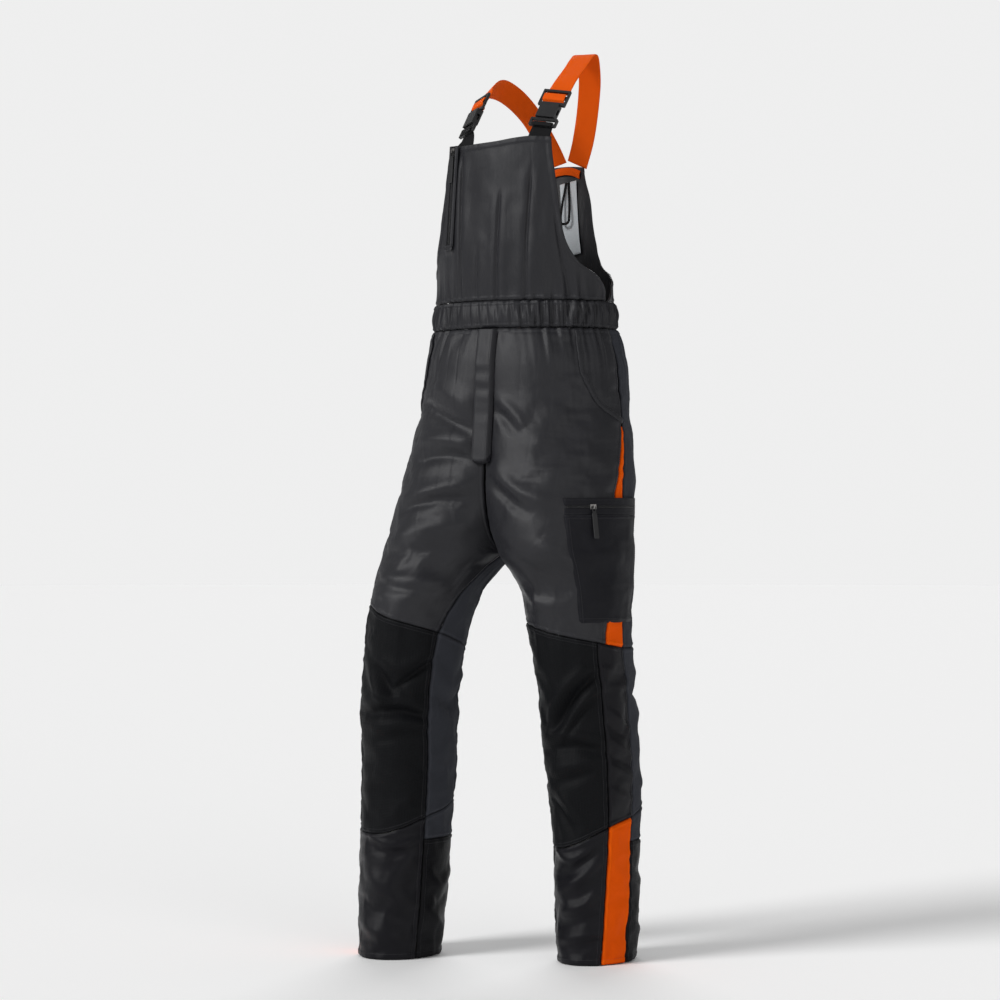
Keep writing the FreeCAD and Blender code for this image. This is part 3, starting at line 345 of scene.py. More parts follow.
# Height, lean, half width and depth of the front, half width of the bib, the back's half width and depth,
# half width of the back panel.
TORSO_ROWS = [
    (1054, 0, 160, 120, 160, 160, 112, 160), (1100, 0, 159, 118, 159, 159, 112, 159),
    (1140, 1, 160, 121, 156, 157, 110, 142), (1165, 2, 163, 123, 137, 155, 108, 104),
    (1204, 3, 171, 124, 122, 150, 108, 86), (1280, 6, 177, 119.5, 110, 150, 116, 65),
    (1338, 8, 174, 117.5, 100, 150, 128, 40), (1368, 10, 170, 115, 95, 150, 133, 38),
]


def hermite(rows, h):
    """The rows' values at heights h, on a cubic through the stations."""
    table = np.array(rows, float)
    x = table[:, 0]
    slope = np.empty_like(table)
    slope[1:-1] = (table[2:] - table[:-2]) / (x[2:] - x[:-2])[:, None]
    slope[0] = (table[1] - table[0]) / (x[1] - x[0])
    slope[-1] = (table[-1] - table[-2]) / (x[-1] - x[-2])
    h = np.asarray(h, float)
    k = np.clip(np.searchsorted(x, h, side="right") - 1, 0, len(x) - 2)
    span = (x[k + 1] - x[k])[..., None]
    t = np.clip((h[..., None] - x[k][..., None]) / span, 0, 1)
    t2, t3 = t * t, t * t * t
    mixed = ((2 * t3 - 3 * t2 + 1) * table[k] + (t3 - 2 * t2 + t) * span * slope[k]
             + (3 * t2 - 2 * t3) * table[k + 1] + (t3 - t2) * span * slope[k + 1])
    return np.moveaxis(mixed, -1, 0)


def ease(t):
    t = np.clip(t, 0, 1)
    return t * t * (3 - 2 * t)


def leg_section(side, h):
    _, lx, ly, rx, ry, lh, rh, depth = hermite(LEG_ROWS, h)
    x, y, half = (lx, ly, lh) if side == LEFT else (rx, ry, rh)
    return x, y, half, depth, ((ly + ry) / 2 - y) * ease((h - 608.0) / 75.0)


def rise_angle(side, h):
    h = np.asarray(h, float)
    x, _, half, _, _ = leg_section(side, h)
    return np.where(h <= CROTCH, 0.0, np.degrees(np.arccos(np.clip(x / half, -1, 1))))


def leg_point(side, h, a, inset):
    x, y, half, depth, drift = leg_section(side, h)
    r = np.radians(a)
    start = np.cos(np.radians(rise_angle(side, h)))
    pull = np.minimum((np.cos(r) + 1) / (start + 1), 1.0)
    return np.stack([side * (x - (half - inset) * np.cos(r)), y - (depth - inset) * np.sin(r) + drift * pull,
                     h - WAIST + 0 * r], -1)


def torso_point(h, a, inset):
    _, lean, fh, fd, _, bh, bd, _ = hermite(TORSO_ROWS, h)
    r = np.radians(a)
    front = np.cos(r) > 0
    half, depth = np.where(front, fh, bh), np.where(front, fd, bd)
    return np.stack([lean + (half - inset) * np.sin(r), -(depth - inset) * np.cos(r), h - WAIST + 0 * r], -1)


def torso_edge(h, behind):
    row = hermite(TORSO_ROWS, h)
    half, edge = (row[5], row[7]) if behind else (row[2], row[4])
    return np.degrees(np.arcsin(np.minimum(edge / half, 0.9999)))


# ---------------------------------------------------------------------------------------------------------
# Folds
# ---------------------------------------------------------------------------------------------------------


def noise2(x, y, seed):
    """Smooth noise from -1 to 1, one cell to a unit."""
    lattice = np.random.default_rng(seed).random((97, 97)) * 2 - 1
    xi, yi = np.floor(x).astype(int), np.floor(y).astype(int)
    fx, fy = ease(x - xi), ease(y - yi)
    pick = lambda i, j: lattice[(xi + i) % 97, (yi + j) % 97]
    return ((pick(0, 0) * (1 - fx) + pick(1, 0) * fx) * (1 - fy)
            + (pick(0, 1) * (1 - fx) + pick(1, 1) * fx) * fy)


def bend_of(points, count=12):
    """Points on a smooth line through a few given ones."""
    p = np.array(points, float)
    found = []
    for k in range(len(p) - 1):
        p0, p1, p2, p3 = p[max(k - 1, 0)], p[k], p[k + 1], p[min(k + 2, len(p) - 1)]
        for i in range(count):
            t = i / count
            found.append((p1 * 2 + (p2 - p0) * t + (p0 * 2 - p1 * 5 + p2 * 4 - p3) * t**2
                          + (p1 * 3 - p0 - p2 * 3 + p3) * t**3) * 0.5)
    return np.array(found + [p[-1]])


def crease(x, y, points, width, lift, count=5):
    """A ridge (lift over 0) or a valley along a bent line, fading at its two ends."""
    line = bend_of(points, count)
    near = np.full(np.shape(x), 1e9)
    share = np.zeros(np.shape(x))
    last = len(line) - 1
    for k in range(last):
        (ax, ay), (bx, by) = line[k], line[k + 1]
        dx, dy = bx - ax, by - ay
        t = np.clip(((x - ax) * dx + (y - ay) * dy) / (dx * dx + dy * dy), 0, 1)
        d = (x - ax - t * dx) ** 2 + (y - ay - t * dy) ** 2
        closer = d < near
        near = np.where(closer, d, near)
        share = np.where(closer, (k + t) / last, share)
    return lift * np.exp(-near / (width * width)) * np.sin(np.pi * np.clip(share, 0.02, 0.98)) ** 0.7


# Folds of each leg: width and lift in mm, then the line's points as (angle, height).
FOLDS = {
    RIGHT: [
        (9, -6.5, [(130, 930), (96, 897), (64, 870)]), (15, 5.0, [(124, 966), (99, 940), (76, 905)]),
        (13, 6.0, [(130, 872), (94, 868), (58, 840)]), (9, -5.0, [(126, 828), (88, 841), (46, 820)]),
        (14, 5.0, [(126, 768), (86, 790), (36, 800)]), (10, -4.5, [(124, 738), (94, 765), (34, 766)]),
        (15, 4.0, [(128, 700), (85, 724), (40, 716)]), (10, -3.0, [(130, 672), (88, 684), (48, 676)]),
        (8, -3.0, [(124, 628), (80, 619), (40, 612)]), (10, 3.0, [(128, 646), (80, 638), (40, 630)]),
        (9, -7.5, [(104, 497), (84, 464), (68, 430)]), (6, -6.0, [(76, 450), (50, 480), (26, 505)]),
        (9, -9.0, [(124, 408), (66, 417), (26, 401)]), (12, 6.0, [(126, 432), (78, 441), (34, 424)]),
        (10, 5.0, [(92, 506), (68, 490), (42, 508)]), (9, 4.0, [(112, 478), (96, 452), (84, 430)]),
        (9, -4.0, [(104, 365), (66, 374), (26, 385)]), (11, 4.5, [(106, 386), (66, 394), (26, 402)]),
        (13, 3.0, [(100, 320), (70, 300), (34, 310)]), (6, 4.0, [(106, 206), (66, 191), (32, 206)]),
        (7, -3.0, [(102, 188), (68, 175), (38, 189)]), (17, 3.5, [(112, 142), (72, 116), (34, 82)]),
        (13, 3.0, [(120, 54), (83, 43), (46, 31)]), (14, -2.5, [(116, 96), (78, 78), (40, 56)]),
        (9, 3.5, [(20, 150), (2, 120), (-18, 128)]), (8, -3.0, [(18, 118), (-4, 92), (-24, 100)]),
        (9, 3.5, [(24, 84), (0, 60), (-20, 40)]), (12, 3.5, [(20, 470), (-4, 452), (-24, 462)]),
        (10, -3.5, [(18, 440), (-6, 424), (-26, 436)]),
    ],
    LEFT: [
        (11, -6.0, [(48, 818), (68, 786), (100, 740)]), (14, 5.5, [(70, 826), (88, 787), (118, 758)]),
        (8, -4.5, [(80, 924), (90, 902), (97, 872)]), (8, 4.0, [(88, 938), (97, 913), (102, 886)]),
        (18, 4.0, [(100, 706), (120, 672), (142, 648)]), (14, -3.0, [(56, 706), (84, 656), (122, 608)]),
        (12, -2.5, [(112, 960), (132, 930), (150, 880)]), (16, 3.0, [(100, 880), (124, 850), (150, 830)]),
        (12, 3.0, [(40, 640), (70, 605), (100, 590)]), (8, -9.0, [(140, 484), (108, 445), (70, 378)]),
        (9, 6.5, [(128, 494), (98, 458), (62, 396)]), (8, 5.5, [(141, 462), (114, 426), (86, 372)]),
        (6, -5.5, [(136, 450), (110, 410), (90, 368)]), (9, -6.0, [(46, 350), (102, 362), (140, 352)]),
        (10, 4.5, [(46, 374), (90, 383), (138, 372)]), (9, -5.0, [(58, 298), (99, 309), (126, 324)]),
        (9, 4.5, [(60, 318), (94, 330), (130, 340)]), (9, -4.0, [(54, 277), (78, 246), (98, 212)]),
        (9, 3.5, [(70, 292), (92, 263), (114, 230)]), (7, 4.0, [(54, 190), (90, 175), (126, 198)]),
        (9, 5.0, [(58, 122), (102, 141), (138, 186)]), (8, -3.5, [(56, 140), (98, 160), (130, 200)]),
        (9, 4.5, [(56, 84), (102, 97), (128, 124)]), (8, 3.5, [(54, 37), (111, 48), (132, 56)]),
        (8, -3.0, [(54, 60), (104, 72), (130, 84)]), (5, 3.2, [(145, 376), (161, 361), (182, 339)]),
        (5, 3.2, [(143, 330), (159, 322), (182, 304)]), (5, 2.6, [(144, 424), (162, 407), (182, 386)]),
        (5, 2.6, [(144, 290), (160, 282), (182, 270)]), (6, -2.6, [(144, 400), (162, 384), (182, 362)]),
        (6, -2.6, [(144, 350), (160, 340), (182, 322)]),
    ],
}

# Folds that both legs have out of the camera's sight.
BACK_FOLDS = [
    (10, -7.0, [(196, 440), (262, 456), (330, 436)]), (11, 5.0, [(200, 474), (266, 486), (334, 464)]),
    (11, 5.0, [(204, 408), (268, 418), (332, 402)]), (9, -4.0, [(208, 384), (270, 394), (328, 378)]),
    (16, -5.0, [(208, 764), (250, 742), (296, 722)]), (18, 5.0, [(206, 804), (250, 788), (292, 764)]),
    (14, 3.5, [(212, 700), (256, 690), (300, 668)]), (15, 3.0, [(214, 628), (262, 610), (310, 622)]),
    (12, 3.5, [(205, 300), (262, 284), (322, 296)]), (10, 3.5, [(196, 140), (262, 118), (330, 138)]),
    (12, -3.0, [(200, 96), (262, 78), (326, 92)]), (10, 3.0, [(192, 52), (262, 40), (332, 50)]),
]

# How much of the placed and of the settled folds the cloth shows.
PLACED_SHARE, SETTLED_SHARE = 1.15, 0.38
SETTLED = {}


def settle_leg(side):
    """Hangs a leg's cloth, cut a little too large for its seams, and keeps how far each point moved."""
    heights = np.arange(0, 1055, 10.0)
    angles = np.arange(0, 360, 5.0)
    h, a = np.meshgrid(heights, angles, indexing="ij")
    base = leg_point(side, h, a, 0.0)
    start = leg_point(side, h, a, -(0.5 * placed_folds(side, h, a) + 1.6 * noise2(h / 34, a / 11, 11 + side)))
    rows, cols = h.shape
    index = np.arange(rows * cols).reshape(rows, cols)
    after = np.roll(index, -1, 1)
    faces = np.stack([index[:-1], after[:-1], after[1:], index[1:]], -1).reshape(-1, 4)
    mesh = bpy.data.meshes.new("settling")
    mesh.from_pydata((start.reshape(-1, 3) / 100).tolist(), [], faces.tolist())
    obj = bpy.data.objects.new("settling", mesh)
    bpy.context.scene.collection.objects.link(obj)
    pins = obj.vertex_groups.new(name="pins")
    hold = np.zeros((rows, cols))
    for seam in (30, 140, 180, 330):
        hold[:, seam // 5] = 0.85
    hold[0], hold[-1] = 1.0, 1.0
    for row in (21, 54, 55):
        hold[row] = np.maximum(hold[row], 0.55)
    weights = hold.ravel()
    for value in np.unique(weights):
        if value > 0:
            pins.add([int(i) for i in np.nonzero(weights == value)[0]], float(value), "REPLACE")
    cloth_mod = obj.modifiers.new("Cloth", "CLOTH")
    s = cloth_mod.settings
    s.quality = 6
    s.mass = 0.3
    s.air_damping = 2.0
    s.tension_stiffness = s.compression_stiffness = 18.0
    s.shear_stiffness = 6.0
    s.bending_stiffness = 0.6
    s.shrink_min = s.shrink_max = -0.055
    s.vertex_group_mass = "pins"
    s.effector_weights.gravity = 0.25
    cloth_mod.collision_settings.use_collision = False
    cloth_mod.point_cache.frame_start, cloth_mod.point_cache.frame_end = 1, 22
    scene = bpy.context.scene
    for f in range(1, 23):
        scene.frame_set(f)
    evaluated = obj.evaluated_get(bpy.context.evaluated_depsgraph_get())
    co = np.zeros(rows * cols * 3)
    evaluated.data.vertices.foreach_get("co", co)
    moved = co.reshape(rows, cols, 3) * 100 - base
    out = leg_point(side, h, a, -1.0) - base
    out /= np.linalg.norm(out, axis=-1, keepdims=True)
    lift = (moved * out).sum(-1) - 0.5 * placed_folds(side, h, a)
    lift = np.clip(lift, -7.0, 7.0)
    bpy.data.objects.remove(obj)
    scene.frame_set(1)
    SETTLED[side] = lift


def settled(side, h, a):
    """The settled cloth's lift at any place on a leg."""
    if side not in SETTLED:
        return np.zeros(np.shape(h))
    grid = SETTLED[side]
    y = np.clip(h / 10.0, 0, grid.shape[0] - 1.001)
    x = (np.asarray(a) % 360) / 5.0
    yi, xi = np.floor(y).astype(int), np.floor(x).astype(int)
    fy, fx = ease(y - yi), ease(x - xi)
    pick = lambda i, j: grid[yi + i, (xi + j) % 72]
    return ((pick(0, 0) * (1 - fx) + pick(0, 1) * fx) * (1 - fy)
            + (pick(1, 0) * (1 - fx) + pick(1, 1) * fx) * fy)


def placed_folds(side, h, a):
    """The folds that are placed one by one, in mm."""
    scale = math.radians(1) * 95.0
    total = np.zeros(np.shape(h))
    wrapped = np.where(a > 330, a - 360, a)
    for width, lift, points in FOLDS[side]:
        total += crease(wrapped * scale, h, [(p[0] * scale, p[1]) for p in points], width, lift)
    behind = np.where(a < 0, a + 360, a)
    for width, lift, points in BACK_FOLDS:
        total += crease(behind * scale, h, [(p[0] * scale, p[1]) for p in points], width, lift)
    return total


def leg_folds(side, h, a):
    """How far the outer cloth of a leg stands out of its plain surface, in mm."""
    a = np.asarray(a, float) % 360
    p = leg_point(side, h, a, 0.0)
    total = placed_folds(side, h, a)
    rise = ease(np.abs(p[..., 0]) / 42.0)
    loose = np.where(h > CROTCH, rise, 1.0)
    total = total * loose * PLACED_SHARE
    total += settled(side, h, a) * SETTLED_SHARE * loose
    total += loose * (0.9 * noise2(h / 46, a / 20 + 9 * side, 3) + 0.3 * noise2(h / 17, a / 8 + 5 * side, 4))
    # Gathers under the waist seam, flat either side of the fly and deep at the hips and behind.
    near_waist = np.exp(-(BAND_FOOT - h) / 38.0)
    front = ease((np.abs(p[..., 0]) - 62.0) / 40.0)
    behind = ease(p[..., 1] / 40.0)
    gather = np.sin(a * 0.62 + 2.2 * noise2(a / 13, h * 0 + 3.0, 5)) + 0.5 * np.sin(a * 1.31 + 1.0)
    total += near_waist * (0.5 + 1.9 * np.maximum(front, behind)) * gather * rise
    return total + 0.10 * noise2(h / 3.2, a / 1.9, 8)


def seam_profile(d, kind):
    """How the cloth dips and swells near an edge, d mm from it."""
    if kind == "seam":
        return (-1.5 * np.exp(-((d / 1.5) ** 2)) + 0.8 * np.exp(-(((d - 5.0) / 3.2) ** 2))
                - 0.5 * np.exp(-(((d - 2.6) / 0.8) ** 2)) - 0.5 * np.exp(-(((d - 7.6) / 0.9) ** 2)))
    if kind == "hem":
        turned = 0.9 * ease((11.0 - d) / 2.5)
        return turned - 0.6 * np.exp(-((d - 9.2) ** 2)) - 0.7 * np.exp(-(d**2))
    return 0.0 * d


EDGE = np.array([0, 0.8, 1.7, 2.6, 4.0, 5.8, 7.6, 9.2, 11.5])


def places(length, middle):
    """Distances along a row that is length mm long: close together at both ends, even in the middle."""
    length = np.asarray(length, float)
    k = np.minimum(1.0, length / (2.4 * EDGE[-1]))[..., None]
    ends = EDGE * k
    t = (np.arange(1, middle + 1) / (middle + 1))
    inner = ends[..., -1:] + (length[..., None] - 2 * ends[..., -1:]) * t
    return np.concatenate([ends, inner, length[..., None] - ends[..., ::-1]], -1)


# ---------------------------------------------------------------------------------------------------------
# Meshes
# ---------------------------------------------------------------------------------------------------------


def link_mesh(name, verts, faces, material, uv=None, seam=None):
    mesh = bpy.data.meshes.new(name)
    verts = np.asarray(verts, np.float32)
    faces = np.asarray(faces, np.int32)
    mesh.vertices.add(len(verts))
    mesh.vertices.foreach_set("co", verts.ravel())
    mesh.loops.add(faces.size)
    mesh.loops.foreach_set("vertex_index", faces.ravel())
    mesh.polygons.add(len(faces))
    mesh.polygons.foreach_set("loop_start", np.arange(0, faces.size, faces.shape[1], dtype=np.int32))
    mesh.update(calc_edges=True)
    layer = mesh.uv_layers.new(name="flat")
    flat = verts[:, :2] if uv is None else np.asarray(uv, np.float32)
    layer.data.foreach_set("uv", flat[faces.ravel()].astype(np.float32).ravel())
    if seam is not None:
        tone = mesh.attributes.new("seam", "FLOAT", "POINT")
        tone.data.foreach_set("value", np.asarray(seam, np.float32))
    mesh.polygons.foreach_set("use_smooth", np.full(len(faces), True))
    mesh.validate()
    mesh.materials.append(MATERIALS[material])
    obj = bpy.data.objects.new(name, mesh)
    bpy.context.scene.collection.objects.link(obj)
    return obj


def grid_faces(rows, cols, offset=0, flip=False):
    index = np.arange(rows * cols).reshape(rows, cols) + offset
    quads = np.stack([index[:-1, :-1], index[:-1, 1:], index[1:, 1:], index[1:, :-1]], -1).reshape(-1, 4)
    return quads[:, ::-1] if flip else quads


def normals_of(grid):
    du = np.gradient(grid, axis=1)
    dv = np.gradient(grid, axis=0)
    n = np.cross(du, dv)
    return n / np.maximum(np.linalg.norm(n, axis=-1, keepdims=True), 1e-9)


def run_along(grid, axis):
    """How far each point of a grid is from the first one, along its row or its column."""
    steps = np.cumsum(np.linalg.norm(np.diff(grid, axis=axis), axis=-1), axis)
    return np.pad(steps, [(1, 0) if k == axis else (0, 0) for k in range(2)])


def slab(name, outer, inner, material, seam=None, uv_shift=(0.0, 0.0)):
    """A solid between two grids of points in mm."""
    rows, cols = outer.shape[:2]
    across, along = run_along(outer, 1), run_along(outer, 0)
    across = across - across[:, -1:] / 2
    uv = np.stack([across / 1000 + uv_shift[0], along / 1000 + uv_shift[1]], -1).reshape(-1, 2)
    n = normals_of(outer)
    flip = np.sum(n * (outer - inner)) < 0
    count = rows * cols
    faces = [grid_faces(rows, cols, 0, flip), grid_faces(rows, cols, count, not flip)]
    index = np.arange(count).reshape(rows, cols)
    border = np.concatenate([index[0, :-1], index[:-1, -1], index[-1, :0:-1], index[:0:-1, 0]])
    after = np.roll(border, -1)
    rim = np.stack([border, border + count, after + count, after], -1)
    faces.append(rim[:, ::-1] if flip else rim)
    verts = np.concatenate([outer.reshape(-1, 3), inner.reshape(-1, 3)]) / 1000
    tone = np.zeros(2 * count)
    if seam is not None:
        tone[:count] = seam.ravel()
    return link_mesh(name, verts, np.concatenate(faces), material, np.concatenate([uv, uv]), tone)


# Length, pitch and thread radius of a stitch, in mm.
STITCH_LENGTH, STITCH_PITCH, THREAD_RADIUS = 2.6, 3.5, 0.42


def stitches(name, paths, material="thread_grey"):
    """Rows of separate stitches. Each path is (points, outward directions), in mm."""
    verts, faces, uvs = [], [], []
    total = 0
    ring = np.arange(5) * math.tau / 5
    for points, outward in paths:
        steps = np.linalg.norm(np.diff(points, axis=0), axis=1)
        run = np.concatenate([[0], np.cumsum(steps)])
        if run[-1] < STITCH_PITCH * 1.5:
            continue
        starts = np.arange(STITCH_PITCH * 0.3, run[-1] - STITCH_LENGTH, STITCH_PITCH)
        for part, (lift, size) in enumerate(((-0.1, 0.45), (0.28, 1.0), (-0.1, 0.45))):
            where = starts + STITCH_LENGTH * part / 2
            p = np.stack([np.interp(where, run, points[:, i]) for i in range(3)], -1)
            ahead = np.stack([np.interp(where + 0.5, run, points[:, i]) for i in range(3)], -1)
            behind = np.stack([np.interp(where - 0.5, run, points[:, i]) for i in range(3)], -1)
            tangent = ahead - behind
            tangent /= np.maximum(np.linalg.norm(tangent, axis=1, keepdims=True), 1e-9)
            n = np.stack([np.interp(where, run, outward[:, i]) for i in range(3)], -1)
            n /= np.maximum(np.linalg.norm(n, axis=1, keepdims=True), 1e-9)
            side = np.cross(tangent, n)
            circle = (side[:, None] * np.cos(ring)[None, :, None] + n[:, None] * np.sin(ring)[None, :, None])
            verts.append(p[:, None] + n[:, None] * lift + circle * THREAD_RADIUS * size)
        three = np.stack(verts[-3:], 1)  # stitch, ring, corner, xyz
        del verts[-3:]
        count = len(starts)
        verts.append(three.reshape(-1, 3))
        base = total + np.arange(count)[:, None, None] * 15
        k = np.arange(2)[None, :, None] * 5
        j = np.arange(5)[None, None, :]
        j2 = (j + 1) % 5
        quads = np.stack([base + k + j, base + k + j2, base + k + 5 + j2, base + k + 5 + j], -1)
        faces.append(quads.reshape(-1, 4))
        uvs.append(np.stack([np.tile(np.arange(15) % 5 * 0.0004, count),
                             np.repeat(starts, 15) / 1000 + np.tile(np.arange(15) // 5 * 0.0013, count)], -1))
        total += count * 15
    if not verts:
        return None
    return link_mesh(name, np.concatenate(verts) / 1000, np.concatenate(faces), material, np.concatenate(uvs))


def attach(obj, ride, replaces=()):
    """Puts a piece on its body, or, when ride is a side, bakes its transform into its mesh and puts it on no
    body.
    """
    if isinstance(ride, int):
        x, y, _, _, _ = leg_section(ride, np.array(KNEE_MIDDLE))
        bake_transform(obj)
    else:
        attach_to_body(obj, ride)
    if replaces:
        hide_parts(*replaces)
    return obj


SHIFT = np.random.default_rng(21)


def panel(name, point, lift, left, right, low, high, material, ride, slot, replaces=(), step=4.5, inset=0.0,
          thick=1.6, edges="ssss", sew="", thread_name="thread_grey", form="sheet", shape=None, pucker=0.7,
          fullness=1.0):
    """A sewn panel. left and right give the angle at a height, low and high the height at an angle.

    edges has the kind of the left, right, lower and upper edge: s seam, h hem, d down to the cloth, n none.
    sew names the edges with rows of stitches: l r b t for two rows, L R B T for the outer row only.
    fullness, how many times wider than the panel its cloth was cut, is not used.
    """
    kinds = {"s": "seam", "h": "hem", "d": "down", "n": "none"}
    mid_h = (low(np.array(90.0)) + high(np.array(90.0))) / 2
    a_mid = (left(np.array(mid_h)) + right(np.array(mid_h))) / 2
    sample = np.linspace(0, 1, 25)
    lowest = float(np.min(low(left(mid_h) + (right(mid_h) - left(mid_h)) * sample)))
    highest = float(np.max(high(left(mid_h) + (right(mid_h) - left(mid_h)) * sample)))
    length = highest - lowest
    rows_mid = max(2, int((length - 23) / step))
    t = places(np.array(length), rows_mid) / length
    h_row = lowest + length * t
    span = left(h_row)[:, None] + (right(h_row) - left(h_row))[:, None] * sample[None]
    ribs = point(np.repeat(h_row[:, None], 25, 1), span, inset)
    width = np.linalg.norm(np.diff(ribs, axis=1), axis=-1).sum(1)
    cols_mid = max(2, int((width.max() - 23) / step))
    s = places(width, cols_mid) / width[:, None]
    h = np.repeat(h_row[:, None], s.shape[1], 1)
    a = np.zeros_like(h) + a_mid
    for _ in range(5):
        a = left(h) + (right(h) - left(h)) * s
        bottom, top = low(a), high(a)
        h = bottom + (top - bottom) * t[:, None]
    d = {"l": s * width[:, None], "r": (1 - s) * width[:, None], "b": t[:, None] * (top - bottom),
         "t": (1 - t[:, None]) * (top - bottom)}
    raised = lift(h, a)
    flat = point(h, a, inset)
    profile = np.zeros_like(h)
    tone = np.zeros_like(h)
    arc = run_along(flat, 1)
    for edge, kind in zip("lrbt", edges):
        kind = kinds[kind]
        profile += seam_profile(d[edge], kind)
        if kind in ("seam", "hem"):
            run = h if edge in "lr" else arc
            near = np.exp(-d[edge] / 7.0)
            profile += pucker * near * noise2(run / 5.5, d[edge] / 30, 31 + ord(edge)) * ease(d[edge] / 2.0)
            # Seam tone: above 0 on the seam's ridge, for wear, and below 0 in its groove, for painted shade.
            tone += 0.9 * np.exp(-(((d[edge] - 5.0) / 2.6) ** 2)) - 1.0 * np.exp(-((d[edge] / 1.6) ** 2))
        if kind == "down":
            profile -= shape * (1 - ease(d[edge] / 6.0) ** 0.6)
    outer = point(h, a, inset - raised - profile)
    inner = point(h, a, inset + thick - raised - np.minimum(profile, 0) * 0.9)
    shift = SHIFT.random(2)
    obj = slab(name, outer, inner, material, np.clip(tone, -1, 1), shift)
    attach(obj, ride, replaces)
    falling, rising = flat[1:, 1:] - flat[:-1, :-1], flat[1:, :-1] - flat[:-1, 1:]
    cut = np.linalg.norm(np.cross(falling, rising), axis=-1).sum() / 2e6
    n = normals_of(outer)
    if np.sum(n * (outer - inner)) < 0:
        n = -n
    paths = []
    for mark in sew:
        double = mark.islower()
        single = (7,) if edges["lrbt".index(mark.lower())] == "h" else (6,)
        for k in (3, 6) if double else single:
            line = {"l": (slice(None), k), "r": (slice(None), -1 - k), "b": (k, slice(None)),
                    "t": (-1 - k, slice(None))}[mark.lower()]
            paths.append((outer[line], n[line]))
    sewn = stitches(name + "_stitching", paths, thread_name) if paths else None
    if sewn:
        attach(sewn, ride)
    return obj


def fixed(value):
    return lambda x: np.zeros(np.shape(x)) + value


def through(stations):
    """A smooth function through (place, value) pairs."""
    return lambda x: hermite(stations, np.asarray(x, float))[1]


# ---------------------------------------------------------------------------------------------------------
# Trousers
# ---------------------------------------------------------------------------------------------------------

# Height of the seam over the knee patch and of the one under it, by angle round the leg.
PATCH_HEAD = {
    RIGHT: [(-60, 524), (-30, 520), (30, 548), (90, 572), (150, 594), (210, 582), (270, 548), (330, 520),
            (400, 552)],
    LEFT: [(-60, 548), (-30, 560), (30, 565), (90, 549), (142, 534), (180, 524), (210, 523), (270, 535),
           (330, 560), (400, 564)],
}
PATCH_FOOT = {
    RIGHT: [(-60, 268), (-30, 263), (0, 251), (30, 237), (60, 220), (90, 210), (150, 213), (180, 224),
            (230, 250), (330, 263), (360, 251), (390, 237)],
    LEFT: [(-60, 240), (-30, 225), (30, 193), (70, 192), (100, 202), (142, 227), (180, 241), (230, 258),
           (300, 250), (330, 236), (390, 195)],
}
KICK_TOP = 200.0
RISE = 0.8


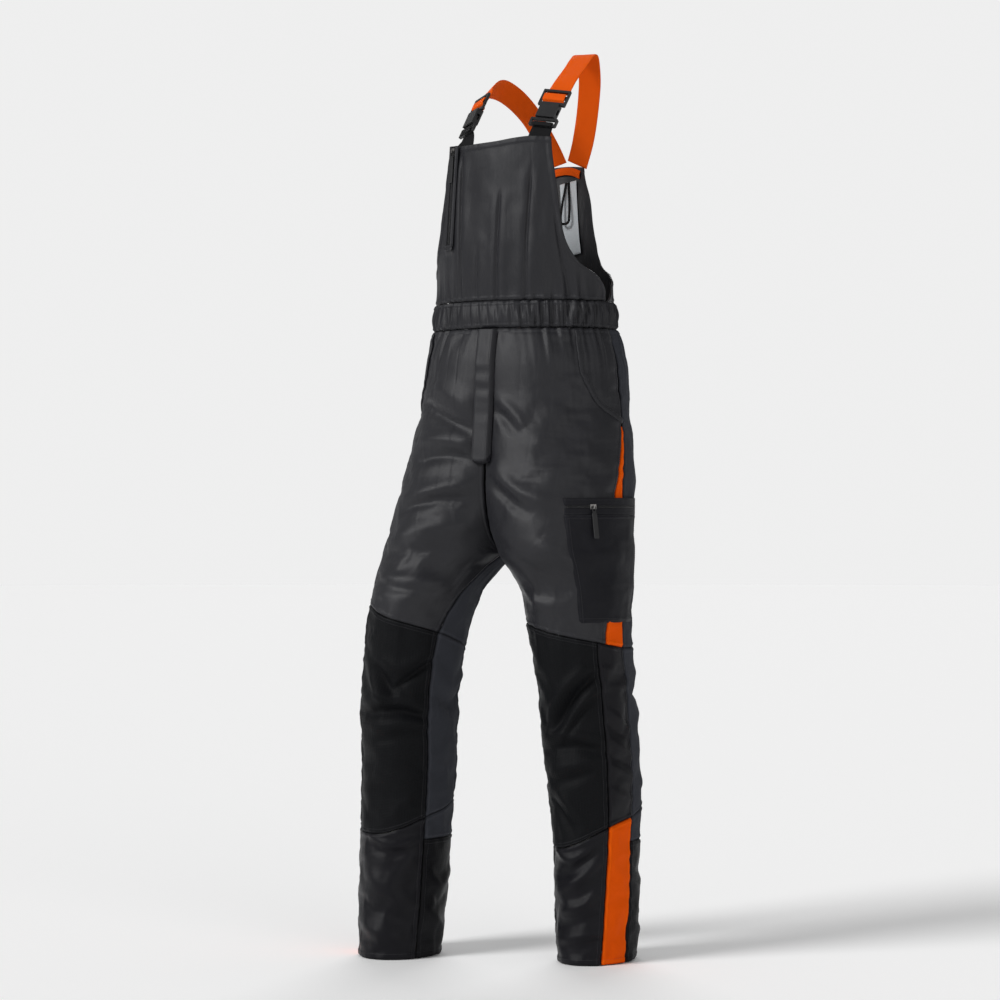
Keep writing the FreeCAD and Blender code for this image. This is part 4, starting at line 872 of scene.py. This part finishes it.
def make_leg(side):
    name = NAMES[side]
    shin = f"{name}_shin"
    head, foot = through(PATCH_HEAD[side]), through(PATCH_FOOT[side])
    gap = 0.25
    over, under = (lambda a: head(a) + gap), (lambda a: head(a) - gap)
    above_foot, below_foot = (lambda a: foot(a) + gap), (lambda a: foot(a) - gap)
    lift = lambda h, a: leg_folds(side, h, a)
    point = lambda h, a, i: leg_point(side, h, a, i)

    def piece(part, node, left, right, low, high, material, ride, slot, folds=lift, **more):
        panel(f"{name}_{part}", point, folds, left, right, low, high, material, ride, slot,
              [f"{name}_{node}"], **more)

    def insert_left(h):
        return 178.0 - 24.0 * np.clip((WEDGE_TIP - h) / 345.0, 0, 1.2)

    def crotch_share(h):
        return 0.15 + 0.85 * np.clip((CROTCH - h) / 138.0, 0, 1.2)

    def front_left(h):
        inner = 30.0 * np.minimum(crotch_share(h), 1.0)
        below = np.where(h < CROTCH, inner, 0.0)
        return np.maximum(below, rise_angle(side, h)) + RISE * 0.5

    def front_right(h):
        return np.where(h < WEDGE_TIP, insert_left(h) - 0.5, 177.3)

    def rear_right(h):
        inner = 360.0 - 42.0 * np.minimum(crotch_share(h), 1.0)
        return np.minimum(np.where(h < CROTCH, inner, 360.0), 360.0 - rise_angle(side, h)) - RISE * 0.5

    waist = fixed(BAND_FOOT - gap)
    piece("thigh_front_cloth", "thigh_front", front_left, front_right, over, waist, "shell_twill", side,
          "shell_twill", step=3.8, sew="rb")
    piece("side_insert_cloth", "side_insert", insert_left, fixed(179.5), over, fixed(WEDGE_TIP),
          "signal_orange", side, "signal_orange", edges="sssn")
    piece("seat_cloth", "seat_panel", fixed(180.2), rear_right, over, waist, "stretch_grey", side,
          "stretch_grey", sew="L")
    piece("inner_thigh_cloth", "inner_panel", lambda h: -42.0 * crotch_share(h) + RISE * 0.5,
          lambda h: 30.0 * crotch_share(h) - RISE * 0.5, over, fixed(679.0), "stretch_grey", side,
          "stretch_grey", sew="R")
    piece("knee_patch_cloth", "knee_patch", fixed(30.3), fixed(141.7), above_foot, under, "knee_ripstop",
          side, "knee_ripstop", step=3.6, sew="lrbt", pucker=1.0)
    piece("knee_side_cloth", "knee_back", fixed(142.3), fixed(179.7), above_foot, under, "shin_twill",
          side, "shell_twill", sew="R")
    piece("knee_back_cloth", "knee_back", fixed(180.3), fixed(329.7), above_foot, under, "stretch_grey",
          side, "stretch_grey")
    piece("knee_inner_cloth", "knee_back", fixed(-29.7), fixed(29.7), above_foot, under, "stretch_grey",
          side, "shell_twill", sew="L")

    turn = 0.0 if side == LEFT else 16.0
    stripe_left = lambda h: 132.0 + turn + 10.0 * h / 226.0
    stripe_right = lambda h: 172.0 + turn + 8.0 * h / 240.0
    piece("shin_front_cloth", "shin_front", fixed(30.3), lambda h: stripe_left(h) - 0.3, fixed(0.0),
          below_foot, "shin_twill", shin, "shell_twill", step=3.8, edges="sshs", sew="lrB")
    piece("shin_stripe_cloth", "shin_insert", (lambda h: stripe_left(h) + 0.3),
          (lambda h: stripe_right(h) - 0.3), fixed(0.0), below_foot, "signal_orange", shin, "signal_orange",
          edges="sshs", sew="B", thread_name="thread_orange")
    piece("calf_cloth", "calf_panel", lambda h: stripe_right(h) + 0.3, fixed(389.7), fixed(KICK_TOP + gap),
          below_foot, "stretch_grey", shin, "stretch_grey")
    piece("kick_cloth", "kick_patch", lambda h: stripe_right(h) + 0.3, fixed(389.7), fixed(0.0),
          fixed(KICK_TOP - gap), "kick_ripstop", shin, "knee_ripstop", edges="sshs",
          sew="BtR", pucker=1.1)

    quilt = lambda h, a: leg_folds(side, h, a) * 0.9 - 1.6 * np.exp(-((np.mod(a, 24.0) - 12.0) / 1.4) ** 2)
    piece("thigh_pad_quilt", "thigh_pad", lambda h: np.maximum(44.0, rise_angle(side, h)) + 3.0,
          fixed(172.0), fixed(600.0), fixed(964.0), "cut_pad", "garment", "cut_pad", folds=quilt, step=8,
          inset=4.3, thick=6.0, edges="nnnn", form="pad")
    piece("knee_pad_quilt", "shin_pad", fixed(33.0), fixed(139.0), fixed(45.0), fixed(515.0), "cut_pad",
          side, "cut_pad", folds=quilt, step=8, inset=4.3, thick=6.0, edges="nnnn", form="pad")
    slack = lambda h, a: leg_folds(side, h, a) * 0.7
    piece("thigh_lining_cloth", "thigh_lining", lambda h: np.maximum(44.0, rise_angle(side, h)) + 1.0,
          lambda h: np.minimum(316.0, 360.0 - rise_angle(side, h)) - 1.0, fixed(600.0), fixed(994.0),
          "lining", "garment", "lining", folds=slack, step=9, inset=12.5, thick=1.0, edges="hhhh")
    piece("shin_lining_cloth", "shin_lining", fixed(4.0), fixed(356.0), fixed(30.0), fixed(325.0), "lining",
          shin, "lining", folds=slack, step=9, inset=12.5, thick=1.0, edges="hhhh")
    piece("pocket_bag_cloth", "hand_pocket", fixed(112.0), fixed(176.0), fixed(968.0), fixed(1046.0),
          "lining", "garment", "lining", step=6, inset=4.0, thick=1.0, edges="nnnn")


# ---------------------------------------------------------------------------------------------------------
# Strips that follow a line
# ---------------------------------------------------------------------------------------------------------


def strip(name, points, across, width, thick, material, ride, replaces=(), crown=0.0, count=11, sew=()):
    """A band along points, with across the direction of its width at each. crown lifts its middle."""
    points, across = np.asarray(points, float), np.asarray(across, float)
    run = np.gradient(points, axis=0)
    run /= np.linalg.norm(run, axis=1, keepdims=True)
    across = across - run * (across * run).sum(1, keepdims=True)
    across /= np.linalg.norm(across, axis=1, keepdims=True)
    up = np.cross(across, run)
    s = np.linspace(-1, 1, count)
    s = np.sign(s) * np.abs(s) ** 0.8
    # Both faces draw in at the two edges.
    thin = 0.35 * thick * np.maximum(np.abs(s) - 0.86, 0) / 0.14
    rise = crown * (1 - s**2) - thin
    low = crown * (1 - s**2) + thin
    line = points[:, None] + across[:, None] * (s[None, :, None] * width / 2)
    outer = line + up[:, None] * (rise + thick / 2)[None, :, None]
    inner = line + up[:, None] * (low - thick / 2)[None, :, None]
    obj = slab(name, outer, inner, material, None, SHIFT.random(2))
    if ride is not None:
        attach(obj, ride, replaces)
    paths = []
    for place, face in sew:
        k = int(round((place + 1) / 2 * (count - 1)))
        paths.append(((outer if face > 0 else inner)[:, k], up * face))
    if paths:
        attach(stitches(name + "_stitching", paths), ride)
    return obj


def lip(side):
    """The rolled edge of a hand pocket's mouth, with its two rows of stitches."""
    line = bend_of([(146, 1050), (145, 990), (149, 956), (158, 925), (177, 899)], 16)
    a, h = line[:, 0], line[:, 1]
    lift = leg_folds(side, h, a)
    points = leg_point(side, h, a, -lift - 1.0)
    ahead = np.gradient(points, axis=0)
    out = leg_point(side, h, a, -4.0) - leg_point(side, h, a, 0.0)
    across = np.cross(ahead, out)
    strip(f"{NAMES[side]}_pocket_lip", points, across, 9.0, 2.4, "shell_twill", "garment",
          crown=0.5, sew=((-0.6, side), (0.6, side)))


# ---------------------------------------------------------------------------------------------------------
# Fly and thigh pocket
# ---------------------------------------------------------------------------------------------------------


def belly_y(x, h):
    side_x = np.abs(x)
    left = leg_section(LEFT, h)
    right = leg_section(RIGHT, h)
    pick = lambda i: np.where(x >= 0, left[i], right[i])
    cx, cy, half, depth, drift = (pick(i) for i in range(5))
    reach = (cx - side_x) / half
    return cy - depth * np.sqrt(np.maximum(1 - reach * reach, 0.0)) + drift


def make_fly():
    def point(h, x, inset):
        zero = np.zeros_like(h)
        base = np.minimum(np.minimum(belly_y(zero - 20, h), belly_y(zero, h)), belly_y(zero + 17, h))
        return np.stack([x, base - 10.4 + inset, h - WAIST], -1)

    def lift(h, x):
        middle = np.exp(-(((h - 960.0) / 70.0) ** 2))
        creased = 0.8 * noise2(h / 14, x / 30 + h / 60, 41) * (0.35 + middle)
        return creased - 0.7 * np.exp(-(((x - 9.0) / 1.2) ** 2))

    def low(x):
        # The lower corners of the placket are rounded off.
        across = np.clip(np.abs(x + 1.5) / 18.6, 0, 1)
        return 828.0 + 16.0 * (1 - np.sqrt(np.clip(1 - across**4, 0, 1)))

    panel("fly_placket_cloth", point, lift, fixed(-20.0), fixed(17.0), low, fixed(1052.0), "shell_twill",
          "garment", "shell_twill", ["fly_placket"], step=2.6, edges="dddn", sew="RLB", shape=8.2, pucker=0.4)


ZIP_HEIGHT = 757.0
POCKET_ANGLES = (123.0, 164.0, 205.0)


def zip_circle():
    """Centre and radius of the circle that the thigh pocket's zip runs on."""
    a, b, c = (leg_point(LEFT, np.array(ZIP_HEIGHT), np.array(x), 0.0) for x in POCKET_ANGLES)
    d = 2 * (a[0] * (b[1] - c[1]) + b[0] * (c[1] - a[1]) + c[0] * (a[1] - b[1]))
    aa, bb, cc = (p[0] ** 2 + p[1] ** 2 for p in (a, b, c))
    x = (aa * (b[1] - c[1]) + bb * (c[1] - a[1]) + cc * (a[1] - b[1])) / d
    y = (aa * (c[0] - b[0]) + bb * (a[0] - c[0]) + cc * (b[0] - a[0])) / d
    radius = math.hypot(a[0] - x, a[1] - y) + 2.2 + 1.2
    ends = [math.degrees(math.atan2(p[0] - x, -(p[1] - y))) for p in (a, c)]
    return x, y, radius, ends[0], ends[1]


def coil(name, points, across, outward, ride, replaces=(), pitch=1.5, half=2.3):
    """A zip's teeth: small rounded loops in two rows that meet along points."""
    run = np.concatenate([[0], np.cumsum(np.linalg.norm(np.diff(points, axis=0), axis=1))])
    at = lambda grid, x: np.stack([np.interp(x, run, grid[:, i]) for i in range(3)], -1)
    verts, faces = [], []
    total = 0
    ring = np.arange(6) * math.tau / 6
    for sign in (-1, 1):
        where = np.arange(1.0 + (0.5 + sign / 4) * pitch, run[-1] - 1.0, pitch)
        middle, side, out = at(points, where), at(across, where), at(outward, where)
        ahead = np.cross(side, out)
        rings = []
        for reach, lift, size in ((0.15, 0.35, 0.25), (0.5, 0.75, 0.55), (1.6, 0.75, 0.5), (half, 0.1, 0.3)):
            centre = middle + side * sign * reach + out * lift
            rings.append(centre[:, None] + (ahead[:, None] * np.cos(ring)[None, :, None]
                                            + out[:, None] * np.sin(ring)[None, :, None]) * size)
        block = np.stack(rings, 1)
        verts.append(block.reshape(-1, 3))
        base = total + np.arange(len(where))[:, None, None] * 24
        k = np.arange(3)[None, :, None] * 6
        j = np.arange(6)[None, None, :]
        j2 = (j + 1) % 6
        faces.append(np.stack([base + k + j, base + k + j2, base + k + 6 + j2, base + k + 6 + j],
                              -1).reshape(-1, 4))
        total += len(where) * 24
    obj = link_mesh(name, np.concatenate(verts) / 1000, np.concatenate(faces), "zip_coil")
    attach(obj, ride, replaces)
    return obj


def make_thigh_pocket():
    lift = lambda h, a: leg_folds(LEFT, h, a) * 0.55 + 0.8 * noise2(h / 26, a / 9, 51)
    point = lambda h, a, i: leg_point(LEFT, h, a, i)
    panel("thigh_pocket_cloth", point, lift, fixed(123.2), fixed(204.8), fixed(566.0), fixed(745.0),
          "pocket_twill", "garment", "knee_ripstop", ["thigh_pocket"], step=3.8, inset=-3.0, edges="ddds",
          sew="LRBt", shape=2.6)
    cx, cy, radius, start, end = zip_circle()

    def round_point(h, b, inset):
        r = np.radians(b)
        return np.stack([cx + (radius - inset) * np.sin(r), cy - (radius - inset) * np.cos(r), h - WAIST], -1)

    wave = lambda h, b: 0.25 * noise2(h / 9, b / 4, 61)
    for part, low, high, sew in (("lower", 743.2, 754.6, "B"), ("upper", 759.4, 771.5, "T")):
        panel(f"thigh_zip_band_{part}", round_point, wave, fixed(start), fixed(end), fixed(low), fixed(high),
              "pocket_twill", "garment", "zip_tape", ["thigh_zip_band"], step=3.4, inset=-0.8, thick=1.5,
              edges="ddnn", sew=sew, shape=3.0)
    h = np.full(60, ZIP_HEIGHT)
    b = np.linspace(start + 2, end - 2, 60)
    points = round_point(h, b, 0.0)
    outward = np.stack([np.sin(np.radians(b)), -np.cos(np.radians(b)), 0 * b], -1)
    up = np.tile([0.0, 0, 1], (60, 1))
    strip("thigh_zip_tape_cloth", points - outward * 0.5, up, 10.0, 0.7, "zip_tape", "garment",
          ["thigh_zip_band"])
    coil("thigh_zip_coil", points, up, outward, "garment", ["thigh_zip_band"])


# ---------------------------------------------------------------------------------------------------------
# Waist, bib and back
# ---------------------------------------------------------------------------------------------------------


def torso_x(h, a):
    return torso_point(h, a, 0.0)[..., 0]


def bib_folds(h, a):
    """Sewn channels down the bib, with the cloth puffed between them, and gathers above the waistband."""
    x = torso_x(h, a)
    total = 1.1 * noise2(h / 60, x / 34, 71) + 0.4 * noise2(h / 20, x / 14, 72)
    for top_x, foot_x, top_h, deep in ((74, 62, 1330, 1.0), (20, 12, 1292, 1.0), (-22, -26, 1200, 0.7),
                                       (-60, -61, 1352, 1.3), (110, 126, 1262, 0.8)):
        t = np.clip((top_h - h) / (top_h - BAND_HEAD), 0, 1)
        line = top_x + (foot_x - top_x) * t
        on = ease((top_h - h) / 40.0)
        hump = lambda at, wide: np.exp(-(((x - line - at) / wide) ** 2))
        total += on * deep * (-3.4 * hump(0, 2.4) + 1.5 * hump(10, 8.0) + 1.3 * hump(-10, 8.0))
    low = np.exp(-(h - BAND_HEAD) / 26.0)
    side = ease((np.abs(x) - 40.0) / 60.0)
    gather = np.sin(x * 0.30 + 2 * noise2(x / 21, h * 0, 73)) + 0.4 * np.sin(x * 0.71)
    total += low * (0.6 + 2.0 * side) * gather
    total += 3.0 * np.exp(-(((x - 84.0) / 22.0) ** 2) - (((h - 1165.0) / 45.0) ** 2))
    total += 2.2 * np.exp(-(((x + 86.0) / 12.0) ** 6)) * ease((1375 - h) / 8.0) * ease((h - 1178) / 10.0)
    return total


BIB_HEAD = through([(-40, 1361), (-33, 1361.5), (-17, 1363), (0, 1365.5), (12, 1369.5), (22, 1371.5),
                    (34, 1369.5), (45, 1369)])


def make_upper():
    edge = lambda h: torso_edge(h, False)
    panel("bib_cloth", torso_point, bib_folds, lambda h: -edge(h) + 0.3, lambda h: edge(h) - 0.3,
          fixed(BAND_HEAD + 0.3), BIB_HEAD, "shell_twill", "garment", "shell_twill", ["bib_panel"], step=2.8,
          thick=2.2, edges="hhsh", sew="LRbT")
    inside = lambda h, a: 0.8 * noise2(h / 40, a / 12, 74)
    panel("bib_lining_cloth", torso_point, inside, lambda h: -edge(h) + 2.3, lambda h: edge(h) - 2.3,
          fixed(1103.0), fixed(1338.0), "lining", "garment", "lining", ["bib_lining"], step=7, inset=8.0,
          thick=1.0, edges="hhhh", sew="LRT")
    panel("chest_pocket_bag_cloth", torso_point, inside, lambda h: -edge(h) + 3.3, lambda h: -edge(h) + 36.3,
          fixed(1160.0), fixed(1336.0), "lining", "garment", "lining", ["chest_pocket_bag"], step=7,
          inset=4.6, thick=1.2, edges="nnnn")
    rear = lambda h: torso_edge(h, True)

    def back_folds(h, a):
        x = torso_x(h, a)
        low = np.exp(-(h - BAND_HEAD) / 40.0)
        return (1.8 * noise2(h / 55, x / 30, 81) + 0.6 * noise2(h / 18, x / 13, 82)
                + low * 2.6 * (np.sin(x * 0.27 + 2 * noise2(x / 25, h * 0, 83)) + 0.5 * np.sin(x * 0.66)))

    back_head = lambda a: 1346.0 - 3.5 * ((np.asarray(a, float) - 180.0) / 15.0) ** 2
    panel("back_cloth", torso_point, back_folds, (lambda h: 180.0 - rear(h) + 0.3),
          (lambda h: 180.0 + rear(h) - 0.3), fixed(BAND_HEAD + 0.3), back_head, "shell_twill", "garment",
          "shell_twill", ["back_panel"], step=3.6, thick=2.2, edges="hhsh", sew="LRbT")

    def band_folds(h, a):
        x = torso_x(h, a)
        t = (h - BAND_FOOT) / (BAND_HEAD - BAND_FOOT)
        belly = np.sin(np.pi * np.clip(t, 0, 1)) ** 0.7
        calm = np.where(np.cos(np.radians(a)) > 0, ease((np.abs(x) - 20.0) / 70.0), 1.0)
        run = a * 2.45
        ruffle = np.sin(run * 0.34 + 3.0 * noise2(run / 33, t * 0.8, 91))
        ruffle += 0.6 * np.sin(run * 0.83 + 2.0 * t) + 0.8 * noise2(run / 7.5, t * 1.5, 92)
        return belly * 3.2 + (1.3 + 2.3 * calm) * ruffle * (0.6 + 0.4 * belly)

    for part, from_a, to_a in (("front", -90.0, 90.0), ("back", 90.0, 270.0)):
        panel(f"{part}_waistband_cloth", torso_point, band_folds, fixed(from_a + 0.1), fixed(to_a - 0.1),
              fixed(1054.3), fixed(1099.7), "shell_twill", "garment", "shell_twill", [f"{part}_waistband"],
              step=2.4, inset=-0.6, thick=2.4, edges="nnss", sew="BT", pucker=1.2, fullness=1.5)
    panel("waist_elastic_band", torso_point, lambda h, a: band_folds(h, a) * 0.5, fixed(96.0), fixed(264.0),
          fixed(1059.0), fixed(1095.0), "black_webbing", "garment", "black_webbing", ["waist_elastic"],
          step=4, inset=3.4, thick=1.4, edges="nnnn")

    # The yoke where both straps are sewn down: a short arched band inside the back's top.
    crown = lambda a: 1344.5 - 9.0 * ((np.asarray(a, float) - 179.0) / 13.0) ** 2
    toe = lambda a: 1331.0 - 9.0 * ((np.asarray(a, float) - 179.0) / 13.0) ** 2
    arch = lambda h, a: np.sin(np.pi * np.clip((h - toe(a)) / 13.5, 0, 1))
    bulge = lambda h, a: -1.4 * arch(h, a) + 0.3 * noise2(h / 3, a / 1.2, 93)
    panel("strap_yoke_band", torso_point, bulge, fixed(166.6), fixed(192.4), toe, crown, "orange_webbing",
          "garment", "orange_webbing", ["strap_yoke"], step=2.0, inset=3.6, thick=2.6, edges="nnnn",
          form=None)


def make_chest_zip():
    """The chest pocket's zip: two tapes and the coil, on the CAD's straight line."""
    def mark(height):
        half = float(hermite(TORSO_ROWS, np.array(height))[2])
        angle = -math.degrees(math.asin(86.0 / half))
        p = torso_point(np.array(height), np.array(angle), 0.0)
        ahead, behind = (torso_point(np.array(height), np.array(angle + turn), 0.0) for turn in (1, -1))
        q = ahead - behind
        n = np.array([q[1], -q[0], 0.0])
        n /= np.linalg.norm(n)
        return p + n * 4.6, n

    low, out = mark(1194.0)
    high, _ = mark(1364.0)
    count = 60
    share = np.linspace(0.005, 0.995, count)[:, None]
    points = low + (high - low) * share
    up = (high - low) / np.linalg.norm(high - low)
    out = out - up * np.dot(out, up)
    out /= np.linalg.norm(out)
    across = np.cross(up, out)
    wide, outward = np.tile(across, (count, 1)), np.tile(out, (count, 1))
    strip("chest_zip_tape_cloth", points - out * 0.3, -wide, 19.0, 0.7, "zip_tape", "garment",
          ["chest_zip_tape"], sew=((-0.55, 1), (0.55, 1)))
    coil("chest_zip_coil", points, wide, outward, "garment", ["chest_zip_tape"])
    for sign, name in ((-1, "inner"), (1, "outer")):
        edge = points + wide * sign * 8.4 + outward * 0.5
        strip(f"chest_zip_welt_{name}", edge, -wide + outward * 0.12 * sign, 7.5, 2.2, "shell_twill",
              "garment", crown=1.2, sew=((0.55 * sign, 1),))
    reach = wide[:5] * np.linspace(-10.5, 10.5, 5)[:, None]
    end = points[:1].repeat(5, 0) + reach + outward[:5] * 0.9 - up * 3
    strip("chest_zip_end", end, np.tile(up, (5, 1)), 9.0, 2.2, "shell_twill", "garment",
          crown=0.9)


def make_fly_zip():
    top, foot = 1002.0, 852.0
    h = np.linspace(foot + 1, top - 1, 50)
    y0, y1 = (float(belly_y(np.array(12.0), np.array(v))) - 4.6 for v in (foot, top))
    y = y0 + (y1 - y0) * (h - foot) / (top - foot)
    points = np.stack([np.full(50, -1.5), y, h - WAIST], -1)
    across = np.tile([1.0, 0, 0], (50, 1))
    strip("fly_zip_tape_cloth", points, -across, 19.0, 0.7, "zip_tape", "garment",
          ["fly_zip_tape"])
    coil("fly_zip_coil", points, across, np.tile([0, -1.0, 0], (50, 1)), "garment", ["fly_zip_tape"])


# ---------------------------------------------------------------------------------------------------------
# Braces
# ---------------------------------------------------------------------------------------------------------

BUCKLES = {
    "left": ((84, -80, 1402), (0.08, 0.58, 0.81), (0.99, 0.10, -0.10)),
    "right": ((-58, -86, 1397), (0.12, 0.51, 0.85), (0.82, -0.56, 0.1)),
}
STRAPS = {
    "left": [((91, -22, 1471), (0.99, 0.05, -0.05)), ((94, 4, 1495), (0.97, 0.1, 0)),
             ((95, 28, 1516), (0.95, 0.15, 0)), ((95, 41, 1522), (0.95, 0.15, 0)),
             ((93, 54, 1514), (0.95, 0.1, 0)), ((84, 76, 1479), (0.97, 0, 0.1)),
             ((66, 100, 1428), (0.97, -0.1, 0.2)),
             ((48, 118, 1385), (0.96, -0.1, 0.2)), ((31, 128.5, 1348.5), (0.98, -0.1, 0.1))],
    "right": [((-52, -36, 1460), (0.78, -0.5, 0.35)), ((-55, -8, 1469), (0.65, -0.4, 0.6)),
              ((-55, 24, 1469), (0.55, -0.35, 0.75)), ((-47, 54, 1456), (0.55, -0.35, 0.75)),
              ((-36, 82, 1432), (0.65, -0.3, 0.65)), ((-26, 104, 1402), (0.8, -0.2, 0.5)),
              ((-17, 120, 1374), (0.95, -0.05, 0.25)), ((-10, 130.5, 1348.5), (0.98, 0.05, 0.1))],
}


def buckle_axes(name):
    origin, up, wide = (Vector(v) for v in BUCKLES[name])
    up = up.normalized()
    wide = (wide - up * wide.dot(up)).normalized()
    return origin, wide, up.cross(wide), up


def on_buckle(name, x, y, z):
    origin, wide, inward, up = buckle_axes(name)
    p = origin + wide * x + inward * y + up * z
    return (p.x, p.y, p.z - WAIST)


def make_strap(name):
    _, wide, _, up = buckle_axes(name)
    bar, out, pitch = 30 + 16.0, 3.5, 7.25
    turn = [(out + 1.0, -pitch - 7), (out + 0.3, -pitch - 4), (0, -pitch - 0.6), (-out + 0.5, -pitch + 1.8),
            (-out, 0), (-out + 0.5, pitch - 1.8), (0, pitch + 0.6), (out + 0.3, pitch + 4),
            (out + 1.0, pitch + 9)]
    anchors = [(on_buckle(name, 0, y, bar + z), tuple(wide)) for y, z in turn]
    anchors += [((p[0], p[1], p[2] - WAIST), w) for p, w in STRAPS[name]]
    line = bend_of([a[0] for a in anchors], 10)
    across = bend_of([a[1] for a in anchors], 10)
    obj = strip(f"{name}_brace_webbing", line, across, 40.0, 1.9, "orange_webbing", None, count=25)
    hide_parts(f"{name}_strap")
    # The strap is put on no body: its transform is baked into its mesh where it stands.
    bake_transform(obj)


def make_tab(name):
    mouth, wide, _, _ = buckle_axes(name)
    row = hermite(TORSO_ROWS, np.array(1368.0))
    angle = math.degrees(math.asin((mouth.x - float(row[1])) / float(row[2])))
    inset = 2.4 + 1.2 + 0.9
    foot = torso_point(np.array(1344.0), np.array(angle), inset)
    edge = torso_point(np.array(1366.0), np.array(angle), inset)
    along = (torso_point(np.array(1368.0), np.array(angle + 4.0), 0.0)
             - torso_point(np.array(1368.0), np.array(angle - 4.0), 0.0))
    along = tuple(along / np.linalg.norm(along))
    slot = -0.4 - 8.5
    half = 2.25 + 0.9 + 0.5
    turn = [(half, -9.0), (half, -3.2), (half - 1.2, -1.4), (0, -0.2), (-half + 1.2, -1.4), (-half, -3.6),
            (-half + 0.3, -9.0)]
    anchors = [(tuple(foot), along), (tuple(edge), along)]
    anchors += [(on_buckle(name, 0, y, slot + z), tuple(wide)) for y, z in turn]
    strip(f"{name}_tab_webbing", bend_of([a[0] for a in anchors], 6), bend_of([a[1] for a in anchors], 6),
          37.0, 1.9, "black_webbing", "garment", [f"{name}_bib_tab"], count=19)


# ---------------------------------------------------------------------------------------------------------
# Label and hanger
# ---------------------------------------------------------------------------------------------------------


def back_inside(height, x, lift):
    row = hermite(TORSO_ROWS, np.array(float(height)))
    angle = 180 - math.degrees(math.asin((x - float(row[1])) / float(row[5])))
    return torso_point(np.array(float(height)), np.array(angle), 2.4 + lift)


def make_label():
    top, slope = 1317.0, 22.0 / 128.0
    points, across = [], []
    for k in range(33):
        h = top - 128.0 * (1 - k / 32)
        x = 20.0 + slope * (top - h)
        points.append(back_inside(h, x, 4.0 + 0.5 * math.sin(k / 5.0)))
        c = back_inside(h, x + 10, 4.0) - back_inside(h, x - 10, 4.0)
        across.append(c + np.array([0, 0, c[0] * slope]))
    label = strip("care_label_cloth", np.array(points), np.array(across), 34.0, 0.8, "label_grey",
                  "inside_label", ["care_label"], crown=0.6, count=17)
    half, low_h = 11.0, top - 76.0
    hung = back_inside(top, 20.0, 5.6)
    low = back_inside(low_h, 28.0, 15.0)
    up = (hung - low) / np.linalg.norm(hung - low)
    side = np.array([1.0, 0, 0]) - up * up[0]
    side /= np.linalg.norm(side)
    length = np.linalg.norm(hung - low)
    at = lambda x, z: hung + side * x - up * z
    loop = [at(-2.5, 0), at(-4.2, 18), at(-half + 4.0, 40), at(-half + 2.6, length - half),
            at(-6, length - 4.2), at(0, length - 2.4), at(6, length - 4.2), at(half - 2.6, length - half),
            at(half - 4.0, 40), at(4.2, 18), at(2.5, 0)]
    line = bend_of(loop, 8)
    forward = np.cross(side, up)
    wide = np.cross(np.gradient(line, axis=0), np.tile(forward, (len(line), 1)))
    strip("hanger_loop_tape", line, wide, 4.6, 1.6, "black_webbing", "inside_label",
          ["hanger_loop"], count=7)


# ---------------------------------------------------------------------------------------------------------
# Moulded and metal parts kept from the CAD
# ---------------------------------------------------------------------------------------------------------

KEPT = {
    "left_buckle_body": "black_plastic", "right_buckle_body": "black_plastic",
    "left_buckle_tongue": "black_plastic", "right_buckle_tongue": "black_plastic",
    "chest_zip_slider": "zip_metal", "fly_zip_slider": "zip_metal", "thigh_zip_slider": "zip_metal",
    "chest_zip_pull": "pull_rubber", "thigh_zip_pull": "pull_rubber",
}


def dress_cad_nodes():
    for node, material in KEPT.items():
        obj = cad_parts[node]
        for k in range(len(obj.material_slots)):
            obj.material_slots[k].material = MATERIALS[material]
        if not obj.material_slots:
            obj.data.materials.append(MATERIALS[material])
        bevel = obj.modifiers.new("soft edges", "BEVEL")
        bevel.width = 0.0007 if "buckle" in node else 0.0003
        bevel.segments = 3
        bevel.limit_method = "ANGLE"
        bevel.angle_limit = math.radians(40)
        bevel.harden_normals = False


# ---------------------------------------------------------------------------------------------------------
# Build
# ---------------------------------------------------------------------------------------------------------

for side in (LEFT, RIGHT):
    settle_leg(side)
for side in (LEFT, RIGHT):
    make_leg(side)
    lip(side)
make_fly()
make_fly_zip()
make_thigh_pocket()
make_upper()
make_chest_zip()
for name in ("left", "right"):
    make_strap(name)
    make_tab(name)
make_label()
dress_cad_nodes()

bpy.context.view_layer.update()
